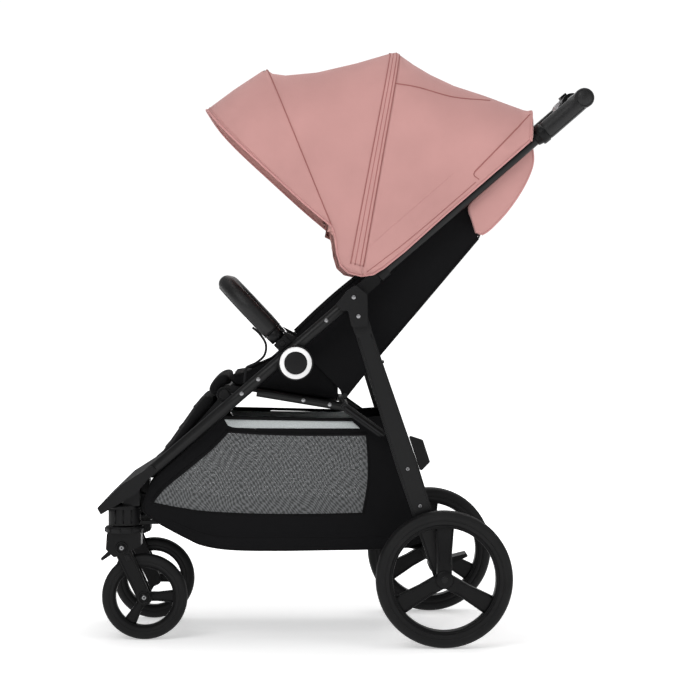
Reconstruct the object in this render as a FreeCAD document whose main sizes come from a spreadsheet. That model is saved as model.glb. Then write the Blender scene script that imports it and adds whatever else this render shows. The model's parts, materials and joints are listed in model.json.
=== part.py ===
"""Baby stroller: one-piece seat, folding hood, swivel front casters and a folding frame.

Units are millimetres. +Z is up, -X is the way the stroller travels, and -Y is its left side.
The origin is on the floor, under the middle of the whole stroller.
"""
import FreeCAD, Part
import math
import os
from FreeCAD import Placement, Rotation
from FreeCAD import Vector as V

SIDES = {"left": -1, "right": 1}

SIZES = {
    # frame pivot, at the side brackets, and the straight line that the frame tubes follow
    "pivot_x": 20.0,
    "pivot_z": 663.0,
    "frame_slope": 40.8,
    "frame_half_width": 222.0,
    "foot_half_width": 190.0,
    "leg_tube_radius": 11.0,
    "leg_tube_length": 486.0,
    "leg_bend_radius": 150.0,
    "handle_tube_radius": 10.0,
    "tube_wall": 1.5,
    "handle_tube_length": 485.0,
    "handle_reach": 583.5,
    "handlebar_radius": 11.0,
    "handle_corner": 45.0,
    "grip_radius": 17.5,
    "collar_length": 24.0,
    "socket_boss_radius": 17.0,
    "socket_sleeve_radius": 13.0,
    "pin_radius": 4.0,
    "plate_thickness": 6.0,
    # rear frame
    "rear_pivot_x": 29.0,
    "rear_pivot_z": 627.0,
    "rear_leg_thickness": 16.0,
    "rear_leg_middle": 248.0,
    "axle_x": 191.0,
    "axle_radius": 6.0,
    "axle_tube_radius": 11.0,
    "axle_half_length": 297.5,
    # wheels
    "rear_wheel_radius": 130.0,
    "rear_rim_radius": 103.0,
    "rear_wheel_width": 40.0,
    "rear_wheel_middle": 280.0,
    "front_wheel_radius": 83.0,
    "front_rim_radius": 60.0,
    "front_wheel_width": 28.0,
    "front_wheel_middle": 160.0,
    "front_axle_x": -383.0,
    "front_axle_radius": 5.0,
    "swivel_x": -422.6,
    "swivel_stem_radius": 8.0,
    "swivel_ring_radius": 36.0,
    "swivel_housing_radius": 31.0,
    "running_gap": 0.3,
    # hub discs on the front legs
    "hub_x": -90.0,
    "hub_z": 538.0,
    "hub_radius": 33.5,
    "hub_ring_radius": 30.5,
    "hub_cap_radius": 21.8,
    # seat frame, seat and back
    "rail_radius": 8.0,
    "rail_middle": 202.0,
    "rail_front_x": -165.0,
    "rail_front_z": 480.0,
    "rail_rear_x": 4.0,
    "rail_rear_z": 452.0,
    "bight_x": 5.0,
    "bight_z": 473.0,
    "back_slope": 49.8,
    "back_length": 400.0,
    "back_rod_radius": 5.0,
    "pad_half_width": 158.0,
    "back_pad_thickness": 26.0,
    "wing_thickness": 10.0,
    "side_panel_thickness": 8.0,
    # leg rest
    "leg_rest_x": -228.0,
    "leg_rest_z": 475.0,
    "leg_rest_slope": 229.0,
    "leg_rest_length": 196.0,
    # basket
    "basket_half_width": 188.0,
    "basket_wall": 3.0,
    # bumper bar
    "bumper_x": -114.0,
    "bumper_z": 572.0,
    "bumper_slope": 133.2,
    "bumper_reach": 160.0,
    "bumper_middle": 199.5,
    "bumper_radius": 8.5,
    "bumper_grip_radius": 17.0,
    # hood
    "hood_pivot_x": 22.0,
    "hood_pivot_z": 722.0,
    "hood_half_width": 237.5,
    "hood_wall": 4.0,
    "bow_radius": 3.0,
    "bow_reach": 417.0,
    "main_bow_angle": 79.0,
    "front_bow_angle": 114.5,
}

doc = FreeCAD.newDocument("stroller")
sheet = doc.addObject("Spreadsheet::Sheet", "Dimensions")
for row, (word, number) in enumerate(SIZES.items(), start=1):
    sheet.set(f"A{row}", word)
    sheet.set(f"B{row}", str(number))
    sheet.setAlias(f"B{row}", word)
doc.recompute()

kept = {}


def size(word):
    """A driving dimension, read back from the spreadsheet."""
    return float(getattr(sheet, word))


def bind(thing, **formulas):
    """Ties properties to spreadsheet cells; @word stands for the cell of that name."""
    for prop, formula in formulas.items():
        thing.setExpression(prop, formula.replace("@", "Dimensions."))
    return thing


def keep(label, thing):
    """Names a finished sub-part, which is then written to its own file."""
    thing.Label = label
    kept[label] = thing
    return thing


# ---- lines and outlines -------------------------------------------------------------------


def direction(degrees):
    """A unit vector in the side view, counted from the rear (+X) towards the top (+Z)."""
    angle = math.radians(degrees)
    return V(math.cos(angle), 0, math.sin(angle))


FRAME_LINE = direction(size("frame_slope"))
FRAME_NORMAL = direction(size("frame_slope") + 90)
PIVOT = V(size("pivot_x"), 0, size("pivot_z"))
REAR_PIVOT = V(size("rear_pivot_x"), 0, size("rear_pivot_z"))
REAR_AXLE = V(size("axle_x"), 0, size("rear_wheel_radius"))
FRONT_AXLE = V(size("front_axle_x"), 0, size("front_wheel_radius"))
HUB = V(size("hub_x"), 0, size("hub_z"))
BIGHT = V(size("bight_x"), 0, size("bight_z"))
LEG_REST = V(size("leg_rest_x"), 0, size("leg_rest_z"))
HOOD_PIVOT = V(size("hood_pivot_x"), 0, size("hood_pivot_z"))
BUMPER = V(size("bumper_x"), 0, size("bumper_z"))
BUMPER_LINE = direction(size("bumper_slope"))


def on_frame(along, across=0.0, side_y=0.0):
    """A point along the frame line from the pivot, and across it towards the top."""
    return PIVOT + FRAME_LINE * along + FRAME_NORMAL * across + V(0, side_y, 0)


def at_y(point, side_y):
    return V(point.x, side_y, point.z)


def flat(point):
    """A point of the side view as a sketch on the XZ plane sees it."""
    return V(point.x, point.z, 0)


def corner_cut(before, corner, after, radius):
    """Start, middle and end of the arc that rounds a corner."""
    back = (before - corner).normalize()
    onward = (after - corner).normalize()
    half = back.getAngle(onward) / 2
    reach = radius / math.tan(half)
    centre = corner + (back + onward).normalize() * (radius / math.sin(half))
    middle = centre + (corner - centre).normalize() * radius
    return corner + back * reach, middle, corner + onward * reach


def outline(points, radius=0.0):
    """A closed outline of straight edges, with every corner rounded to one radius."""
    count = len(points)
    if not radius:
        return [Part.LineSegment(points[i], points[(i + 1) % count]) for i in range(count)]
    cuts = [corner_cut(points[i - 1], points[i], points[(i + 1) % count], radius) for i in range(count)]
    edges = []
    for i, (start, middle, end) in enumerate(cuts):
        edges.append(Part.ArcOfCircle(start, middle, end))
        edges.append(Part.LineSegment(end, cuts[(i + 1) % count][0]))
    return edges


def inset(points, distance):
    """The same outline with every edge moved inwards."""
    turn = sum(points[i - 1].x * p.y - p.x * points[i - 1].y for i, p in enumerate(points))
    inward = distance if turn > 0 else -distance
    moved = []
    for i, point in enumerate(points):
        before = (point - points[i - 1]).normalize()
        after = (points[(i + 1) % len(points)] - point).normalize()
        normals = V(-before.y, before.x, 0), V(-after.y, after.x, 0)
        bisector = (normals[0] + normals[1]).normalize()
        moved.append(point + bisector * (inward / bisector.dot(normals[0])))
    return moved


# ---- building blocks ----------------------------------------------------------------------


def plane(body, role):
    return next(item for item in body.Origin.OriginFeatures if item.Role == role)


def sketch(body, role, geometry):
    drawn = body.newObject("Sketcher::SketchObject", "Sketch")
    drawn.AttachmentSupport = [(plane(body, role), "")]
    drawn.MapMode = "FlatFace"
    drawn.addGeometry(geometry, False)
    return drawn


def slab(points, middle_y, thickness, radius=0.0, holes=()):
    """A plate seen from the side: an outline with round holes, centred on middle_y."""
    body = doc.addObject("PartDesign::Body", "Plate")
    rings = [Part.Circle(flat(centre), V(0, 0, 1), hole) for centre, hole in holes]
    drawn = sketch(body, "XZ_Plane", outline([flat(p) for p in points], radius) + rings)
    pad = body.newObject("PartDesign::Pad", "Pad")
    pad.Profile = drawn
    pad.SideType = "Symmetric"
    bind(pad, Length=thickness)
    body.Placement = Placement(V(0, middle_y, 0), Rotation())
    return body


def turned(profile, centre, side, radius=0.0):
    """A solid of revolution about Y; profile points are (radius, distance outwards)."""
    body = doc.addObject("PartDesign::Body", "Turned")
    points = [V(r, side * out, 0) for r, out in profile]
    drawn = sketch(body, "XY_Plane", outline(points, radius))
    spin = body.newObject("PartDesign::Revolution", "Revolution")
    spin.Profile = drawn
    spin.ReferenceAxis = (drawn, ["V_Axis"])
    spin.Angle = 360
    body.Placement = Placement(centre, Rotation())
    return body


def rod(start, towards, radius, length):
    """A round bar from a point in a direction."""
    bar = bind(doc.addObject("Part::Cylinder", "Rod"), Radius=radius, Height=length)
    bar.Placement = Placement(start, Rotation(V(0, 0, 1), towards))
    return bar


def cross_rod(centre, radius, length):
    """A round bar across the stroller, centred on a point."""
    bar = rod(centre, V(0, 1, 0), radius, length)
    doc.recompute()
    bar.Placement.Base = centre - V(0, bar.Height.Value / 2, 0)
    return bar


def block(centre, length, width, height, turn=0.0):
    """A box centred on a point and turned about Y."""
    box = bind(doc.addObject("Part::Box", "Block"), Length=length, Width=width, Height=height)
    doc.recompute()
    half = V(box.Length.Value, box.Width.Value, box.Height.Value) / 2
    rotation = Rotation(V(0, -1, 0), turn)
    box.Placement = Placement(centre - rotation.multVec(half), rotation)
    return box


def join(*things):
    fused = doc.addObject("Part::MultiFuse", "Join")
    fused.Shapes = list(things)
    return fused


def cut(base, tool):
    less = doc.addObject("Part::Cut", "Less")
    less.Base = base
    less.Tool = tool
    return less


def group(*things):
    several = doc.addObject("Part::Compound", "Group")
    several.Links = list(things)
    return several


def swept(points, corner, radius):
    """A round bar along straight runs joined by arcs of one radius."""
    edges = []
    start = points[0]
    for before, bend, after in zip(points, points[1:], points[2:]):
        leave, middle, arrive = corner_cut(before, bend, after, corner)
        edges.append(Part.makeLine(start, leave))
        edges.append(Part.Arc(leave, middle, arrive).toShape())
        start = arrive
    edges.append(Part.makeLine(start, points[-1]))
    path = doc.addObject("Part::Feature", "Path")
    path.Shape = Part.Wire(edges)
    ring = bind(doc.addObject("Part::Circle", "Section"), Radius=radius)
    ring.Placement = Placement(points[0], Rotation(V(0, 0, 1), points[1] - points[0]))
    bar = doc.addObject("Part::Sweep", "Sweep")
    bar.Sections = [ring]
    bar.Spine = (path, [])
    bar.Solid = True
    return bar


def across_bar(half_width, reach, start_along, corner, radius, origin, line):
    """A U-shaped bar: two arms along a line of the side view, joined across the stroller."""
    left = V(0, -half_width, 0)
    ends = origin + line * start_along
    far = origin + line * reach
    return swept([ends + left, far + left, far - left, ends - left], corner, radius)


# ---- fixed frame --------------------------------------------------------------------------


def leg_route(side):
    """Ends and bend of a front leg, which turns inwards below the seat frame."""
    half = side * size("frame_half_width")
    top, bend = -34, -300
    foot = top - size("leg_tube_length")
    return [on_frame(top, 0, half), on_frame(bend, 0, half), on_frame(foot, 0, side * size("foot_half_width"))]


def front_leg(side):
    """Round tube from the side bracket down to the footrest."""
    route = leg_route(side)
    outer = swept(route, size("leg_bend_radius"), "@leg_tube_radius")
    bore = swept(route, size("leg_bend_radius"), "@leg_tube_radius - @tube_wall")
    return cut(outer, bore)


def frame_bracket(side):
    """Clevis that holds the front leg and carries the handle's pivot and the rear leg's pivot."""
    face = [
        on_frame(-34, -7),
        on_frame(-34, 12),
        on_frame(-4, 17),
        on_frame(18, 16),
        V(46, 0, 668),
        V(47, 0, 608),
        V(16, 0, 606),
        V(9, 0, 640),
    ]
    outer = slab(face, side * 261.5, "@plate_thickness", 5)
    arm = [on_frame(-34, -10), on_frame(-34, 12), on_frame(13, 12), on_frame(13, -12)]
    inner = slab(arm, side * 205.0, "@plate_thickness + 1", 6)
    web = block(on_frame(-29, 2.5, side * 233.0), "10", "57", "17", size("frame_slope"))
    handle_pin = cross_rod(at_y(PIVOT, side * 233.0), "@pin_radius", "57")
    leg_pin = cross_rod(at_y(REAR_PIVOT, side * 249.5), "@pin_radius", "20")
    return join(outer, inner, web, handle_pin, leg_pin)


def hub_housing(side):
    """Round moulding on the outside of the front leg."""
    edge = size("hub_radius")
    profile = [(0, 0), (edge, 0), (edge, 19), (edge - 3, 22), (0, 22)]
    return turned(profile, at_y(HUB, side * 233.5), side)


def hub_ring(side):
    """Pale trim ring around the hub cap."""
    outer, inner = size("hub_ring_radius"), size("hub_cap_radius") + 0.2
    profile = [(inner, 0), (outer, 0), (outer, 3), (outer - 2, 5), (inner + 1.5, 5), (inner, 4)]
    return turned(profile, at_y(HUB, side * 255.55), side)


def hub_cap(side):
    """Domed cap inside the trim ring."""
    edge = size("hub_cap_radius")
    profile = [(0, 0), (edge, 0), (edge, 3.5), (edge - 6.8, 5.6), (0, 6.6)]
    return turned(profile, at_y(HUB, side * 255.55), side)


def rail_point(along):
    """A point along the seat rail, from its front end (0) to its rear end (1)."""
    front = V(size("rail_front_x"), 0, size("rail_front_z"))
    rear = V(size("rail_rear_x"), 0, size("rail_rear_z"))
    return front + (rear - front) * along


def seat_frame():
    """Two seat rails, the cross tube behind the seat and the pivot pins of the rear braces."""
    run = rail_point(1) - rail_point(0)
    half = size("rail_middle")
    cross = cross_rod(rail_point(1), "@rail_radius", "2 * @rail_middle")
    pieces = [cross]
    for side in SIDES.values():
        rail = rod(at_y(rail_point(0), side * half), run, "@rail_radius", str(run.Length))
        pin = cross_rod(at_y(rail_point(1), side * 212.0), "@pin_radius", "21")
        pieces += [rail, pin]
    return join(*pieces)


FOOTREST = [
    V(-472, 0, 258),
    V(-465, 0, 245),
    V(-396, 0, 286),
    V(-381, 0, 305),
    V(-358, 0, 330),
    V(-367, 0, 339),
    V(-427, 0, 301),
]


def footrest():
    """Hollow moulded step between the feet of the front legs, bored for the tubes."""
    hollow = [V(p.x, 0, p.y) for p in inset([flat(p) for p in FOOTREST], 4)]
    step = cut(slab(FOOTREST, 0, "2 * @foot_half_width + 34", 3), slab(hollow, 0, "2 * @foot_half_width - 34"))
    for side in SIDES.values():
        _, bend, foot = leg_route(side)
        run = (foot - bend).normalize()
        step = cut(step, rod(foot - run * 60, run, "@leg_tube_radius + 0.05", "60.2"))
    return step


def caster_housing(side):
    """Upright socket under the footrest in which the caster swivels."""
    middle = side * size("front_wheel_middle")
    base = V(size("swivel_x"), middle, 222)
    barrel = rod(base, V(0, 0, 1), "@swivel_housing_radius", "40")
    riser = block(V(-407, middle, 280), "31", "52", "40")
    under = slab(FOOTREST, middle, "90", 3)
    bore = rod(base, V(0, 0, 1), "@swivel_stem_radius + @running_gap", "34")
    return cut(cut(join(barrel, riser), under), bore)


def seat_board():
    """Board under the seat, with a knuckle on each side for the leg rest."""
    lower = [V(-226, 0, 489), V(-10, 0, 454.9)]
    upper = [V(-10, 0, 460.9), V(-226, 0, 495)]
    board = slab(lower + upper, 0, "380")
    pieces = [board]
    for side in SIDES.values():
        knuckle = cross_rod(at_y(LEG_REST, side * 183.25), "15", "13.5")
        pocket = cross_rod(at_y(LEG_REST, side * 187.0), "11.4", "8")
        arm = slab([V(-222, 0, 478), V(-196, 0, 478), V(-190, 0, 487), V(-214, 0, 491)], side * 183.25, "13.5")
        pieces.append(cut(join(knuckle, arm), pocket))
    return join(*pieces)


def seat_pad():
    """Plain solid of the seat cushion."""
    under = [V(-224, 0, 495.4), V(-12, 0, 461.8)]
    over = [V(-8, 0, 481), V(-222, 0, 515)]
    return slab(under + over, 0, "2 * @pad_half_width", 6)


def side_panel(side):
    """Fabric side of the seat, from the seat frame up to the frame tube."""
    face = [V(-165, 0, 487.5), V(-8, 0, 462.8), V(-8, 0, 560), V(-60, 0, 582), V(-122, 0, 548)]
    return slab(face, side * 168.0, "@side_panel_thickness")


BASKET = [
    V(-224, 0, 436),
    V(-380, 0, 254),
    V(-313, 0, 207),
    V(-262, 0, 187),
    V(-159, 0, 178),
    V(82, 0, 179),
    V(157, 0, 188),
    V(98, 0, 436),
]


def basket():
    """Shopping basket: a thin-walled bag, open at the top."""
    outer = slab(BASKET, 0, "2 * @basket_half_width")
    wall = size("basket_wall")
    inner = [V(p.x, 0, p.y) for p in inset([flat(p) for p in BASKET], wall)]
    inner[0] = inner[0] + V(0, 0, 30)
    inner[-1] = inner[-1] + V(0, 0, 30)
    hollow = slab(inner, 0, "2 * @basket_half_width - 2 * @basket_wall")
    return cut(outer, hollow)


def bumper_point(along, across=0.0, side_y=0.0):
    normal = direction(size("bumper_slope") - 90)
    return BUMPER + BUMPER_LINE * along + normal * across + V(0, side_y, 0)


def bumper_socket(side):
    """Adaptor that the bumper bar plugs into, with a pocket for the release button."""
    turn = size("bumper_slope")
    stem = block(bumper_point(-20, 0, side * 199.5), "28", "22", "28", turn)
    head = block(bumper_point(3, 0, side * 204.5), "18", "32", "28", turn)
    bore = rod(bumper_point(-26, 0, side * 199.5), BUMPER_LINE, "@bumper_radius + @running_gap", "60")
    pocket = cross_rod(bumper_point(3, 0, side * 216.8), "6.4", "8")
    return cut(cut(join(stem, head), bore), pocket)


def screw_head(point, side):
    """Domed screw head standing on a face."""
    return turned([(0, 0), (3.8, 0), (3.8, 1), (2.2, 2.2), (0, 2.4)], point, side)


def frame_screws():
    """Every visible screw of the fixed frame."""
    tube_face = size("frame_half_width") + size("leg_tube_radius") - 0.4
    rail_face = size("rail_middle") + size("rail_radius") - 0.4
    heads = []
    for side in SIDES.values():
        heads += [screw_head(on_frame(along, 0, side * tube_face), side) for along in (-68, -240, -282)]
        heads += [screw_head(at_y(rail_point(part), side * rail_face), side) for part in (0.53, 0.83)]
        heads += [screw_head(at_y(point, side * 264.45), side) for point in (PIVOT, REAR_PIVOT)]
    return group(*heads)


# ---- handle -------------------------------------------------------------------------------


def handle_socket(side):
    """Lower end of the handle: pivot boss and the sleeve that holds the tube."""
    half = side * size("frame_half_width")
    boss = cross_rod(at_y(PIVOT, side * 234.5), "@socket_boss_radius", "44")
    arm = [on_frame(-13, -13), on_frame(-13, 13), on_frame(62, 13), on_frame(62, -13)]
    sleeve = slab(arm, half, "@socket_sleeve_radius + 11", 9)
    bore = rod(on_frame(20, 0, half), FRAME_LINE, "@handle_tube_radius + 0.05", "50")
    pin_hole = cross_rod(at_y(PIVOT, side * 234.0), "@pin_radius + @running_gap", "60")
    return cut(cut(join(boss, sleeve), bore), pin_hole)


def handle_tube(side):
    """Round tube from the pivot socket up to the grip."""
    foot = on_frame(20.5, 0, side * size("frame_half_width"))
    outer = rod(foot, FRAME_LINE, "@handle_tube_radius", "@handle_tube_length")
    bore = rod(foot, FRAME_LINE, "@handle_tube_radius - @tube_wall", "@handle_tube_length")
    return cut(outer, bore)


def handle_collar(side):
    """Flared collar between the tube and the grip."""
    flare = bind(
        doc.addObject("Part::Cone", "Collar"),
        Radius1="@handle_tube_radius + 2",
        Radius2="@grip_radius",
        Height="@collar_length",
    )
    foot = on_frame(20.6 + size("handle_tube_length"), 0, side * size("frame_half_width"))
    flare.Placement = Placement(foot, Rotation(V(0, 0, 1), FRAME_LINE))
    return flare


GRIP_START = 20.7 + size("handle_tube_length") + size("collar_length")


def handle_bar(radius, start=GRIP_START):
    return across_bar(
        size("frame_half_width"), size("handle_reach"), start, size("handle_corner"), radius, PIVOT, FRAME_LINE
    )


def handlebar():
    """Round tube across the top of the handle."""
    return cut(handle_bar("@handlebar_radius"), handle_bar("@handlebar_radius - @tube_wall", GRIP_START - 1))


def handle_grip():
    """Left and right grip covers over the handlebar, open in the middle."""
    sleeve = cut(handle_bar("@grip_radius"), handle_bar("@handlebar_radius + 0.05", GRIP_START - 1))
    gap = block(on_frame(size("handle_reach")), "60", "94", "60")
    return cut(sleeve, gap)


def fold_housing():
    """Housing of the fold release, in the middle of the handlebar."""
    centre = on_frame(size("handle_reach"), 4)
    shell = cross_rod(centre, "21", "92")
    bar = cross_rod(on_frame(size("handle_reach")), "@handlebar_radius + 0.05", "100")
    pocket = block(on_frame(size("handle_reach"), 24), "15", "41", "12", size("frame_slope"))
    return cut(cut(shell, bar), pocket)


def fold_button():
    """Release button, pressed into its housing to unlock the fold."""
    return block(on_frame(size("handle_reach"), 26.2), "14", "40", "6", size("frame_slope"))


# ---- hood ---------------------------------------------------------------------------------


def hood_mount(side):
    """Clamp on the handle tube with the pin that the hood's bows turn on."""
    clamp = rod(on_frame(64, 0, side * size("frame_half_width")), FRAME_LINE, "14", "20")
    bore = rod(on_frame(60, 0, side * size("frame_half_width")), FRAME_LINE, "@handle_tube_radius + 0.05", "30")
    arm = [HOOD_PIVOT + V(-9, 0, -4), HOOD_PIVOT + V(2, 0, 11), on_frame(84, 12.5), on_frame(64, 10.5)]
    plate = slab(arm, side * 211.0, "@plate_thickness", 3)
    pin = cross_rod(at_y(HOOD_PIVOT, side * 220.0), "@pin_radius", "24")
    return join(cut(clamp, bore), plate, pin)


def hood_bow(angle, half_width):
    """Bent rod from the pivot on one side, over the top, to the pivot on the other."""
    line = direction(angle)
    rail = across_bar(half_width, size("bow_reach"), 8, 80, "@bow_radius", HOOD_PIVOT, line)
    pieces = [rail]
    holes = []
    for side in SIDES.values():
        eye = at_y(HOOD_PIVOT, side * half_width)
        pieces.append(cross_rod(eye, "9", "5.5"))
        holes.append(cross_rod(eye, "@pin_radius + @running_gap", "10"))
    return cut(cut(join(*pieces), holes[0]), holes[1])


def hood_shell(outer, inner):
    """Fabric of the hood: rounded box seen from the side, hollow and open below."""
    skin = slab(outer, 0, "2 * @hood_half_width")
    hollow = slab(inner, 0, "2 * @hood_half_width - 2 * @hood_wall")
    return cut(skin, hollow)


RIDGE = V(104, 0, 1145)
HOOD_BACK_TOP = V(361, 0, 1026)


def hood_rear_panel():
    """Hood from the main bow to the handle, with its upright back edge."""
    seam = direction(size("main_bow_angle"))
    foot = HOOD_PIVOT + V(5, 0, -16)
    outer = [foot, V(46, 0, 715), on_frame(420, 13), HOOD_BACK_TOP, RIDGE]
    inner = [
        foot + seam * 12 - V(40, 0, 0),
        foot - V(0, 0, 60),
        on_frame(420, -60) - V(4, 0, 0),
        HOOD_BACK_TOP - V(4, 0, 2.5),
        RIDGE - V(1.5, 0, 4.4),
        RIDGE - V(60, 0, -23),
    ]
    return hood_shell(outer, inner)


def hood_front_panel():
    """Hood from the main bow over the front bow to the peak."""
    gap = V(-0.8, 0, 0)
    peak = V(-268, 0, 1037)
    foot = HOOD_PIVOT + V(4.2, 0, -16)
    outer = [
        foot,
        RIDGE + gap,
        V(-122, 0, 1103),
        V(-158, 0, 1113),
        peak,
        V(-38, 0, 808),
        V(-32, 0, 773),
        V(-8, 0, 722),
    ]
    inner = [
        foot + V(60, 0, -60),
        RIDGE + V(60, 0, 7.2),
        RIDGE + gap + V(0, 0, -4.2),
        V(-122, 0, 1098.8),
        V(-157, 0, 1108.4),
        V(-266, 0, 1031.5),
        V(-320, 0, 990),
        V(-90, 0, 650),
    ]
    return hood_shell(outer, inner)


# ---- back ---------------------------------------------------------------------------------


def on_back(along, across=0.0):
    """A point along the back from the bight, and across it towards the sitter."""
    return BIGHT + direction(size("back_slope")) * along + direction(size("back_slope") + 90) * across


def back_rod():
    """Rod that the back reclines on."""
    return cross_rod(BIGHT, "@back_rod_radius", "378")


def back_board():
    """Back panel with its side wings, turning on the rod."""
    reach = size("back_length")
    panel = slab([on_back(10, -3), on_back(reach, -3), on_back(reach, 4), on_back(10, 4)], 0, "372")
    wing = [
        on_back(0, -7),
        V(38, 0, 511),
        on_back(reach, -3),
        V(226, 0, 836),
        V(16, 0, 694),
        V(-96, 0, 592),
        V(-60, 0, 540),
        on_back(0, 12),
    ]
    wings = [slab(wing, side * 181.0, "@wing_thickness", 4) for side in SIDES.values()]
    rod_hole = cross_rod(BIGHT, "@back_rod_radius + @running_gap", "400")
    return cut(join(panel, *wings), rod_hole)


def back_pad():
    """Plain solid of the back cushion."""
    top = size("back_length") - 8
    over = 5 + size("back_pad_thickness")
    return slab([on_back(24, 5), on_back(top, 5), on_back(top, over), on_back(24, over)], 0,
                "2 * @pad_half_width", 8)


def back_flap():
    """Fabric flap behind the top of the back."""
    outer = [on_back(362, -9), V(308, 0, 818), V(351, 0, 877), V(363, 0, 905)]
    inner = [V(352, 0, 908), V(344, 0, 882), V(304, 0, 826), on_back(374, -8)]
    return slab(outer + inner, 0, "2 * 205")


# ---- leg rest, bumper bar -----------------------------------------------------------------


def on_leg_rest(along, across=0.0):
    line = direction(size("leg_rest_slope"))
    return LEG_REST + line * along + direction(size("leg_rest_slope") - 90) * across


def leg_rest_board():
    """Leg rest panel with its hinge discs."""
    reach = size("leg_rest_length")
    face = [on_leg_rest(-2, -4), on_leg_rest(reach, -4), on_leg_rest(reach, 3), on_leg_rest(-2, 3)]
    panel = slab(face, 0, "346", 2)
    discs = [cross_rod(at_y(LEG_REST, side * 169.0), "12", "8") for side in SIDES.values()]
    return join(panel, *discs)


def leg_rest_pad():
    """Plain solid of the leg rest cushion."""
    reach = size("leg_rest_length") - 4
    face = [on_leg_rest(14, 4), on_leg_rest(reach, 4), on_leg_rest(reach, 22), on_leg_rest(14, 24)]
    return slab(face, 0, "2 * @pad_half_width", 6)


def leg_rest_button(side):
    """Round button that frees the leg rest."""
    return turned([(0, 0), (11, 0), (11, 6), (9.5, 7.5), (0, 7.5)], at_y(LEG_REST, side * 185.6), side)


def bumper_line(radius, start):
    return across_bar(
        size("bumper_middle"), size("bumper_reach"), start, 70, radius, BUMPER, BUMPER_LINE
    )


def bumper_bar():
    """Round tube of the bumper bar, plugged into the sockets."""
    return cut(bumper_line("@bumper_radius", -24), bumper_line("@bumper_radius - @tube_wall", -25))


def bumper_grip():
    """Padded cover over the bumper bar."""
    return cut(bumper_line("@bumper_grip_radius", 34), bumper_line("@bumper_radius + 0.05", 32))


def bumper_button(side):
    """Release button on the side of the bumper bar's socket."""
    start = bumper_point(3, 0, side * 215.8)
    return turned([(0, 0), (6, 0), (6, 5.5), (5, 6.5), (0, 6.5)], start, side)


# ---- rear frame ---------------------------------------------------------------------------

LEG_RUN = (REAR_AXLE - REAR_PIVOT).normalize()
LEG_SIDE = V(0, -1, 0).cross(LEG_RUN)


def on_rear_leg(along, across=0.0):
    """A point along the rear leg from its pivot, and across it towards the rear."""
    return REAR_PIVOT + LEG_RUN * along + LEG_SIDE * across


def rear_leg(side):
    """Tapered oval leg from the side bracket to the rear axle."""
    foot = (REAR_AXLE - REAR_PIVOT).Length
    face = [
        on_rear_leg(-15, -15),
        on_rear_leg(-15, 15),
        on_rear_leg(300, 20.5),
        on_rear_leg(foot + 18, 17),
        on_rear_leg(foot + 18, -17),
        on_rear_leg(300, -20.5),
    ]
    holes = [(REAR_PIVOT, size("pin_radius") + size("running_gap")), (REAR_AXLE, size("axle_radius") + 0.05)]
    middle = side * size("rear_leg_middle")
    hollow = [on_rear_leg(24, -12), on_rear_leg(24, 12), on_rear_leg(300, 17.5), on_rear_leg(foot - 24, 14),
              on_rear_leg(foot - 24, -14), on_rear_leg(300, -17.5)]
    leg = slab(face, middle, "@rear_leg_thickness", 12, holes)
    return cut(leg, slab(hollow, middle, "@rear_leg_thickness - 2 * @tube_wall", 4))


def rear_axle():
    """Axle with a stiffening tube between the legs."""
    return join(
        cross_rod(REAR_AXLE, "@axle_radius", "2 * @axle_half_length"),
        cross_rod(REAR_AXLE, "@axle_tube_radius", "2 * @rear_leg_middle - @rear_leg_thickness - 0.2"),
    )


def storage_catch():
    """Catch that holds the folded frame shut, behind the left rear leg."""
    face = [on_rear_leg(245, 20.7), on_rear_leg(262, 44), on_rear_leg(306, 44), on_rear_leg(318, 20.9)]
    return slab(face, -248, "14", 3)


def brake_pedal():
    """Foot pedal clipped around the middle of the rear axle."""
    sleeve = cross_rod(REAR_AXLE, "17", "60")
    plate = slab([V(198, 0, 139), V(250, 0, 152), V(253, 0, 146), V(200, 0, 122)], 0, "56", 2)
    bore = cross_rod(REAR_AXLE, "@axle_tube_radius + @running_gap", "70")
    return cut(join(sleeve, plate), bore)


def brace(side):
    """Short strut from the seat frame to the rear leg."""
    start = rail_point(1)
    run = (V(80, 0, 398) - start).normalize()
    rise = V(0, -1, 0).cross(run)
    reach = 90
    face = [start - run * 8 - rise * 8, start + run * reach - rise * 8, start + run * reach + rise * 8,
            start - run * 8 + rise * 8]
    return slab(face, side * 216.8, "7.4", 7.5, [(start, size("pin_radius") + size("running_gap"))])


# ---- wheels -------------------------------------------------------------------------------


def tyre(radius, rim, width, centre, side):
    """Ring of tyre rubber with a rounded crown."""
    half = width / 2
    profile = [(rim, -half * 0.78), (rim, half * 0.78), (radius - half * 0.5, half), (radius, half * 0.55),
               (radius, -half * 0.55), (radius - half * 0.5, -half)]
    return turned(profile, centre, side, half * 0.2)


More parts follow.
